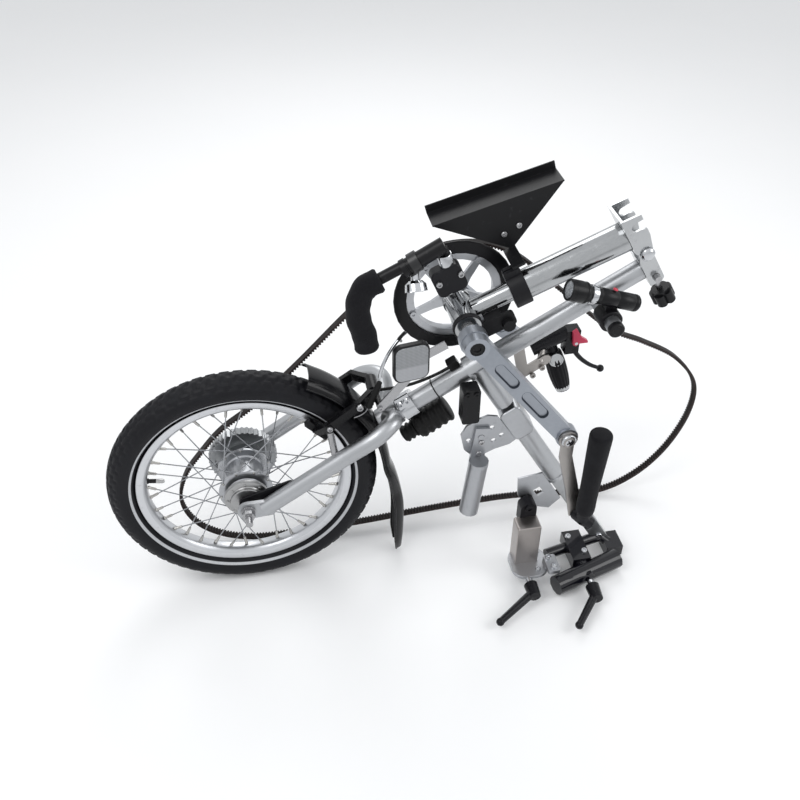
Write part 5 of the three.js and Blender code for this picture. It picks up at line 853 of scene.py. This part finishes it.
def ribbed(profile, centre, axis, count, depth):
    """A turned shape whose side has ribs along the axis."""
    points, faces = turn(profile, centre, axis)
    centre, axis = Vector(centre), Vector(axis).normalized()
    side = axis.orthogonal().normalized()
    other = axis.cross(side)
    moved = []
    for point in points:
        along = (point - centre).dot(axis)
        away = point - centre - axis * along
        angle = math.atan2(away.dot(other), away.dot(side))
        moved.append(point - away.normalized() * (depth * (0.5 + 0.5 * math.cos(angle * count)))
                     if away.length > 8 else point)
    return moved, faces


shifter_profile = [(17 * wide, shifter_line.length * along) for wide, along in shifter_shares]
built("shifter_sleeve", [ribbed(shifter_profile, shifter_from, shifter_line, 16, 0.9)], grip_rubber,
      "shifter", ["twist_shifter"], sharp=50)

shifter_line = shifter_line.normalized()
window_out = Vector((-0.043, -0.954, 0.296))
window_place = shifter_from + shifter_line * 12 + window_out * 13.5
window_steel = metal("window_plate", (0.52, 0.53, 0.54), 0.2)
window_profile = [(0, -4), (12.2, -4), (12.4, 1.2), (11.4, 2.6), (10, 2.9), (9.6, 2.2), (0, 2.5)]
built("gear_window", [turn(window_profile, window_place, window_out, 48)], window_steel, "far_handle",
      sharp=30)
clear_ring, nodes = finish("clear_ring_plastic")
nodes.surface({"Base Color": nodes.blend(nodes.noise(80, 4), (0.42, 0.43, 0.44), (0.62, 0.63, 0.64)),
               "Roughness": 0.2, "Coat Weight": 0.6, "Normal": nodes.bump(nodes.noise(500), 0.0001)})
end_ring_profile = [(8, 66), (12.6, 66), (13.1, 67), (12.6, 71.5), (11.4, 73), (8, 73), (8, 66)]
built("shifter_end_ring", [turn(end_ring_profile, shifter_from, shifter_line, 48)], clear_ring, "shifter")

# Mudguard: a black moulded blade with rolled edges over the crown side of the wheel, ending in a soft flap.
# The channel keeps an even distance from the tyre, and the flap narrows towards its tip.
guard_black = coated("mudguard_plastic", (0.005, 0.005, 0.006), 0.2, 160, 0.00003, 0.06)
guard_radius, guard_half, flap_half, guard_wall, guard_crown, guard_drop = 215.4, 28, 20, 1.8, 3, 9
guard_turns = [math.radians(61 - 54 * i / 7) for i in range(8)]
flap_bends = [(1.5, 5), (9.6, -20), (17, -55), (21.6, -90), (21.4, -140), (18.6, -190)]
guard_line = smooth([Vector((math.cos(t), 0, math.sin(t))) * guard_radius for t in guard_turns]
                    + [Vector((guard_radius + out, 0, z)) for out, z in flap_bends], 6)


def gutter(line, halves, drops, wall):
    """A curved channel whose sides drop towards the wheel, with a round bead along each side."""
    columns = 16
    points, faces, edges, row = [], [], ([], []), 2 * (columns + 1)
    for i, place in enumerate(line):
        ahead = (line[min(i + 1, len(line) - 1)] - line[max(i - 1, 0)]).normalized()
        out = Vector((-ahead.z, 0, ahead.x))
        for layer in (wall, 0):
            for k in range(columns + 1):
                t = 2 * k / columns - 1
                rise = guard_crown * (1 - t * t) - drops[i] * t ** 4 + layer
                points.append(place + out * rise + Vector((0, halves[i] * t, 0)))
        for t, edge in zip((-1, 1), edges):
            edge.append(place + out * (wall / 2 - drops[i]) + Vector((0, halves[i] * t, 0)))
    for i in range(len(line) - 1):
        a, b = i * row, (i + 1) * row
        for k in range(columns):
            faces += [[a + k, a + k + 1, b + k + 1, b + k]]
            faces += [[a + k + columns + 1, b + k + columns + 1, b + k + columns + 2, a + k + columns + 2]]
        for k in (0, columns):
            faces.append([a + k, b + k, b + k + columns + 1, a + k + columns + 1])
    for a in (0, (len(line) - 1) * row):
        faces += [[a + k, a + k + 1, a + k + columns + 2, a + k + columns + 1] for k in range(columns)]
    return [(points, faces), *[sweep(edge, wall * 0.8, 10) for edge in edges]]


guard_halves, guard_drops = [], []
for place in guard_line:
    down = min(max(-place.z / 60, 0), 1)
    tip = min(max((-place.z - 160) / 30, 0), 1)
    guard_halves.append(guard_half + (flap_half - 1.5 - guard_half) * down - 6 * tip ** 2)
    guard_drops.append(guard_drop + 3 * down - 5 * tip)
built("mudguard_blade", gutter(guard_line, guard_halves, guard_drops, guard_wall), guard_black, "frame",
      ["mudguard"], sharp=45)

# Belt: a toothed loop of black rubber with cords in its back and a brown fabric face on its teeth. With the
# mast folded it hangs slack.
belt_places = [
    (-106, -78), (-92, -24), (-63, 18), (-28, 58), (22, 96), (92, 162), (168, 240), (232, 300), (292, 334),
    (352, 338), (410, 314), (486, 245), (579, 160), (632, 132), (694, 92), (738, 34), (742, -28), (712, -110),
    (664, -164), (606, -190), (520, -182), (440, -174), (370, -174), (280, -178), (195, -184), (76, -188),
    (4, -186), (-48, -168), (-88, -132)]
belt_y, belt_width, belt_back, tooth_pitch, tooth_depth = 54, 11, 2.4, 5.0, 2.6


def belt_shape():
    line = smooth([(x, 0, z) for x, z in belt_places], 60, True)
    lengths = [0.0]
    for a, b in zip(line, line[1:] + line[:1]):
        lengths.append(lengths[-1] + (b - a).length)
    teeth = round(lengths[-1] / tooth_pitch)
    shares = [(0, 0), (0.12, 0.15), (0.24, 0.82), (0.36, 1), (0.56, 1), (0.68, 0.82), (0.8, 0.15)]
    loop = line + [line[0]]
    back, face = [], []
    k = 0
    for tooth in range(teeth):
        for share, high in shares:
            want = (tooth + share) / teeth * lengths[-1]
            while lengths[k + 1] < want:
                k += 1
            place = loop[k].lerp(loop[k + 1], (want - lengths[k]) / (lengths[k + 1] - lengths[k]))
            ahead = (loop[k + 1] - loop[k]).normalized()
            inward = Vector((ahead.z, 0, -ahead.x))
            back.append(place - inward * (belt_back / 2))
            face.append(place + inward * (belt_back / 2 + tooth_depth * high))
    points, faces = [], []
    for y in (belt_y - belt_width / 2, belt_y + belt_width / 2):
        points += [place + Vector((0, y, 0)) for place in back + face]
    count = len(back)
    for i in range(count):
        n = (i + 1) % count
        near_back, near_face, far_back, far_face = 0, count, 2 * count, 3 * count
        faces += [[near_back + i, near_back + n, near_face + n, near_face + i],
                  [far_back + i, far_face + i, far_face + n, far_back + n],
                  [near_back + i, far_back + i, far_back + n, near_back + n],
                  [near_face + i, near_face + n, far_face + n, far_face + i]]
    return points, faces


belt_rubber, nodes = finish("belt_rubber")
_, y, _ = nodes.where()
edge_cord = ((y - (axle_half + belt_y) / 1000).size()).rise(0.0046, 0.0054)
tone = nodes.blend(nodes.noise(90, 5), (0.008, 0.007, 0.007), (0.024, 0.018, 0.017))
tone = nodes.blend(edge_cord * nodes.noise(500, 3).rise(0.4, 0.6) * 0.6, tone, (0.060, 0.040, 0.036))
nodes.surface({"Base Color": tone, "Roughness": nodes.noise(40) * 0.2 + 0.5, "Specular IOR Level": 0.2,
               "Normal": nodes.bump(nodes.noise(1200, 2, (1, 0.3, 1)), 0.00012)})
built("belt_loop", [belt_shape()], belt_rubber, "frame", ["toothed_belt"], sharp=40)

# Reflector and its bracket: a moulded plate of tiny prisms in a dark frame, turned a little outward.
# It stands on a bright sheet bracket.
reflector_centre = Vector((241, -56.7, 229))
frame_black = coated("reflector_frame_plastic", (0.010, 0.010, 0.011), 0.3)
prisms, nodes = finish("reflector_prisms")
x, _, z = nodes.where()
lower = (z * 1000).rise(222, 226)
ribs = (x * 3600).sine() * 0.5 + 0.5
facets = (z * 2600).sine() * 0.5 + 0.5
tone = nodes.blend(lower, (0.30, 0.31, 0.33), (0.15, 0.16, 0.17))
tone = nodes.blend(ribs * 0.35 + facets * 0.25, tone, (0.46, 0.47, 0.49))
nodes.surface({"Base Color": tone, "Roughness": 0.18, "Metallic": 0.4, "Coat Weight": 1.0,
               "Normal": nodes.bump(ribs * 0.6 + facets * 0.4, 0.0005)})
reflector_along = Vector((1, 0.14, 0)).normalized()
reflector_out = reflector_along.cross(Vector((0, 0, 1)))
built("reflector_frame", [prism(rounded(51, 60, 12), 8.4, reflector_centre - reflector_out * 0.8,
                                reflector_along, (0, 0, 1))],
      frame_black, "frame", ["reflector"], 38, 1.2, 3)
built("reflector_face", [prism(rounded(46, 55, 10), 3, reflector_centre + reflector_out * 3.4,
                               reflector_along, (0, 0, 1))],
      prisms, "frame", sharp=38, edge=1.0, steps=3)
kept("reflector_bracket", plated, 0.4, flat_faces=True)

# Rim brake: glossy black arms over the wheel, shaped in the CAD part.
# Two plated bolts and a bent stud are made here.
kept("rim_brake", coated("brake_coat", (0.006, 0.006, 0.007), 0.26), 0.9)
brake_bolts = screw_heads([(128, -42.4, 116)], (0, -1, 0), 4.4, 3)
brake_bolts += screw_heads([(172, -40.4, 147)], (0, -1, 0), 5.2, 3.4)
brake_bolts.append(sweep(smooth([(128, -42, 110), (130, -47, 92), (132, -56, 76)], 6), 5, 24))
built("brake_bolts", brake_bolts, plated, "frame")

# Cables: black housings with a bright bent guide tube and a ribbed boot at the brake, and one that runs along
# the main tube to a black box, held by a tie.
cable_black = coated("cable_plastic", (0.006, 0.006, 0.006), 0.3)
brake_inlet = Vector((184, -38, 143))
cable_line = smooth([brake_inlet, (200, -38, 180), (203, -37, 204), (215, -33, 230), (236, -20, 248),
                     (246, 10, 229), (244, 44, 196), (251, 66, 175)], 14)
guide_from, guide_to, cable_radius, guide_radius, tie_radius = 22, 52, 2.4, 2.5, 0.9
built("brake_cable_housing", [sweep(cable_line[guide_to - 2:], cable_radius, 18)], cable_black, "frame",
      ["brake_cable"], 38)
built("cable_guide", [sweep(cable_line[guide_from:guide_to], guide_radius, 18)], chrome, "frame",
      sharp=38)
boot_profile = [(0, 0), (3.4, 0)]
for i in range(8):
    boot_profile += [(5.6 - 0.1 * i, 3 + i * 5.2), (4.5 - 0.1 * i, 5.6 + i * 5.2)]
boot_profile += [(3.6, 46), (0, 46)]
boot_rubber = coated("boot_rubber", (0.006, 0.006, 0.006), 0.55, 260)
built("cable_boot", [turn(boot_profile, brake_inlet, (17, 0, 43), 28)], boot_rubber, "frame",
      sharp=60)
built("cable_end", [sweep(smooth([(185, -38, 146), (180, -40, 138), (172, -41, 133), (163, -41, 130)], 8),
                          0.9, 8)],
      plated, "frame", sharp=38)
tube_gap, box_height = 0.3, 13
tube_up = tube_radius + cable_radius + tube_gap
tube_cable_places = [(-6, 10, 26), (30, 7, 10), (70, 5, 2), (104, 5, 0)]
tube_cable = smooth([on_main(along, across, tube_up + up) for along, across, up in tube_cable_places], 12)
box_place = on_main(104, 5, tube_radius + tube_gap + box_height / 2)
built("tube_cable_housing", [
    sweep(tube_cable, cable_radius, 18),
    prism(rounded(16, 15, 2.5), box_height, box_place, main_line, (0, 1, 0))], cable_black, "frame",
    ["tube_cable"], 38, 0.4)
tie = [on_main(62, 15.4 * math.cos(t), 15.4 * math.sin(t)) for t in [math.tau * i / 48 for i in range(49)]]
built("cable_tie", [sweep(tie, tie_radius, 8)], cable_black, "frame", sharp=38)

# Rubber boots behind the crown: two soft bellows under the main tube, each with moulded ribs.
# They lie on one line, and the one towards the wheel is narrower.
boot_from, boot_to = Vector((241, -3, 51.2)), Vector((309, -3, 96.2))
boot_length = (boot_to - boot_from).length
bellows = [(0, 0), (9, 0)]
for first, last, count, wide in ((0, 0.3, 3, 14), (0.3, 1, 5, 21)):
    for i in range(count):
        for share, in_by in ((0.1, 2.5), (0.3, 2.1), (0.42, 0.6), (0.6, 0), (0.78, 0.6), (0.92, 2.2)):
            bellows.append((wide - in_by, boot_length * (first + (last - first) * (i + share) / count)))
bellows += [(12, boot_length), (0, boot_length)]
built("tube_bellows", [turn(bellows, boot_from, boot_to - boot_from, 48)], boot_rubber, "frame",
      ["tube_boots"], sharp=60)

# Lamp: an aluminium torch coated black in a plastic clamp on the cross stub, with a bright band, a red switch
# and a clear lens in a black bezel.
torch_coat = coated("torch_coat", (0.005, 0.005, 0.006), 0.3)
light_slope = math.radians(-19)
light_line = Vector((math.cos(light_slope), 0, math.sin(light_slope)))
stub_place = on_main(stub_along, -52)
light_middle = stub_place + Vector((0, 0, 30))
light_profile = [(0, -60.4), (14.6, -60.4), (15, -60), (15, -46), (14.6, -45), (14.6, -43.6), (15, -42.6),
                 (15, -41), (14.4, -39.6), (12.4, -36.4), (12, -35), (12, -20), (11.6, -19.4), (11.6, -17.6),
                 (12, -17), (12, 6), (11.6, 6.6), (11.6, 8.4), (12, 9), (12, 32), (11.6, 32.6), (11.6, 34),
                 (12, 34.6), (12, 38), (11.4, 40), (9.6, 42), (0, 42)]
clamp_profile = mirrored([(11.3, -14), (15.2, -14), (16, -13.2)])
built("torch_body", [
    turn(light_profile, light_middle, light_line, 64),
    turn(clamp_profile, stub_place, (0, 1, 0), 48),
    prism(rounded(16, 26, 2), 14, stub_place + Vector((0, 0, 16)), (1, 0, 0), (0, 0, 1))], torch_coat,
    "headlight", ["headlight_body"])
glass, nodes = finish("lamp_glass")
nodes.surface({"Base Color": nodes.blend(nodes.cells(500), (0.10, 0.11, 0.12), (0.55, 0.57, 0.60)),
               "Roughness": 0.08, "Metallic": 0.4, "Coat Weight": 1.0,
               "Normal": nodes.bump(nodes.cells(420), 0.0005)})
lens_profile = [(0, -66), (8, -65.6), (12.4, -64.4), (12.6, -60.4), (0, -60.4)]
built("lamp_lens", [turn(lens_profile, light_middle, light_line, 40)], glass, "headlight", ["headlight_lens"])
bezel_profile = [(12.4, -66), (14.2, -66), (15, -65.2), (15, -60.3), (12.4, -60.3), (12.4, -66)]
lamp_band_profile = [(12.05, -34), (12.9, -33.6), (13.1, -32), (13.1, -27), (12.9, -25.4), (12.05, -25),
                     (12.05, -34)]
for name, profile, coat, slot in (("lamp_bezel", bezel_profile, stub_plastic, "black_coat"),
                                  ("lamp_band", lamp_band_profile, chrome, "polished_metal")):
    built(name, [turn(profile, light_middle, light_line, 48)], coat, "headlight")
light_up = light_line.cross(Vector((0, 1, 0))).normalized()
button_up = light_up if light_up.z > 0 else -light_up
switch_red = coated("switch_plastic", (0.55, 0.05, 0.08), 0.3)
switch_profile = [(0, 13.6), (3.6, 13.6), (3.7, 14.3), (3.0, 15), (0, 15.1)]
built("lamp_switch", [turn(switch_profile, light_middle, button_up, 24)], switch_red, "headlight")

# Docking beam: a stem on the main tube, a block on the fold pin, a satin tube and a bar that slides in it.
# The grey sector plate holds the folding stand leg.
kept("dock_stem", satin, 0.6)
beam_start, beam_line = Vector((350, -8, 170)), Vector((0.517, -0.128, -0.846)).normalized()
beam_across = beam_line.cross(Vector((0, 1, 0))).normalized()
fold_at = beam_start + beam_line * 112
built("dock_block_body", [prism(rounded(56, 34, 8), 36, fold_at, beam_line, beam_across)],
      metal("block_aluminium", (0.46, 0.47, 0.49), 0.3, (0.5, 2, 0.5)), "beam", ["dock_block"],
      edge=3.2, steps=5)
dock_profile = [(13.9, 140.3), (14.6, 140.3), (15, 140.8), (15, 242.6), (16.4, 243), (16.5, 249.4), (16, 250),
                (13.9, 250), (13.9, 140.3)]
built("dock_tube_skin", [turn(dock_profile, beam_start, beam_line, 64)], satin, "beam", ["dock_tube"])
built("dock_tube_plug", [turn([(0, 246), (13.8, 246), (13.8, 249.2), (0, 249.2)], beam_start, beam_line, 48)],
      stub_plastic, "beam")
kept("dock_bar", metal("bar_aluminium", (0.43, 0.44, 0.45), 0.3, (0.4, 2, 0.4)), 0.9)
zinc = metal("zinc_plate", (0.44, 0.45, 0.47), 0.34, (1, 1, 1), 0.8, 0.15)
kept("sector_plate", zinc, 0.5, flat_faces=True)
kept("stand_leg", zinc, 0.5)
leg_screws = screw_heads([(352.6, -40.3, 50), (349.6, -40.3, 29)], (0, -1, 0), 4.6, 2.8)
built("leg_screws", leg_screws, plated, "leg")
kept("latch_box", coated("box_plastic", (0.007, 0.007, 0.008), 0.34), 0.8)

# Clamps: a light plate and a clevis carry the left clamp; the right clamp's glossy jaws slide with the bar.
# Cast levers tighten both.
kept("clamp_plate", zinc, 0.5, flat_faces=True)
kept("left_clevis", black_coat, 1.0, flat_faces=True)
box_steel = metal("clamp_box_steel", (0.40, 0.37, 0.355), 0.3, (1, 1, 0.3), 0.85, 0.06)
built("left_clamp_box", [prism(rounded(38, 84, 3), 28, (423, -86, -131), (1, 0, 0), (0, 0, 1))], box_steel,
      "beam", ["left_clamp"], edge=1.6, steps=3)
built("left_clamp_base", [
    prism(rounded(60, 62, 22, 12), 6, (427, -98, -172), (1, 0, 0), (0, 1, 0)),
    prism(rounded(20, 34, 4), 8, (459, -118, -160), (1, 0, 0), (0, 1, 0)),
    prism(rounded(7, 16, 1), 10, (452, -112, -166), (1, 0, 0), (0, 1, 0))], zinc, "beam",
    edge=0.8, steps=3)
clamp_bolts = screw_heads([(456, -108, -156), (460, -126, -156)], (0, 0, 1), 5.2, 5)
clamp_bolts += screw_heads([(438, -116, -169), (446, -82, -169)], (0, 0, 1), 4.4, 3)
clamp_bolts.append(sweep([Vector((419, -98, -175)), Vector((419, -139.7, -175))], 6, 32))
built("left_clamp_bolts", clamp_bolts, chrome, "beam")
kept("right_clamp", coated("jaw_gloss", (0.005, 0.005, 0.008), 0.14, 120, 0.00003, 0.5), 1.6, 39, 3)
beam_out = beam_line.cross(beam_across)
near_out = beam_out if beam_out.y < 0 else -beam_out
bar_bolts = screw_heads([beam_start + beam_line * 404 + near_out * 5.5], near_out, 5.4, 3)
bar_bolts += screw_heads([(505, -64, -165), (521, -98, -165)], (0, 0, 1), 5, 4)
built("bar_bolts", bar_bolts, chrome, "bar")
thread_profile = [(0, 0), (5.5, 0), (5.7, 0.6), (5.7, 9.4), (5.5, 10), (0, 10)]
built("right_stud_thread", [turn(thread_profile, (516, -147, -180), (0, -1, 0), 32)], chrome, "right_knob")
for node in ("left_lever", "right_lever"):
    kept(node, lever_black, 0.8)
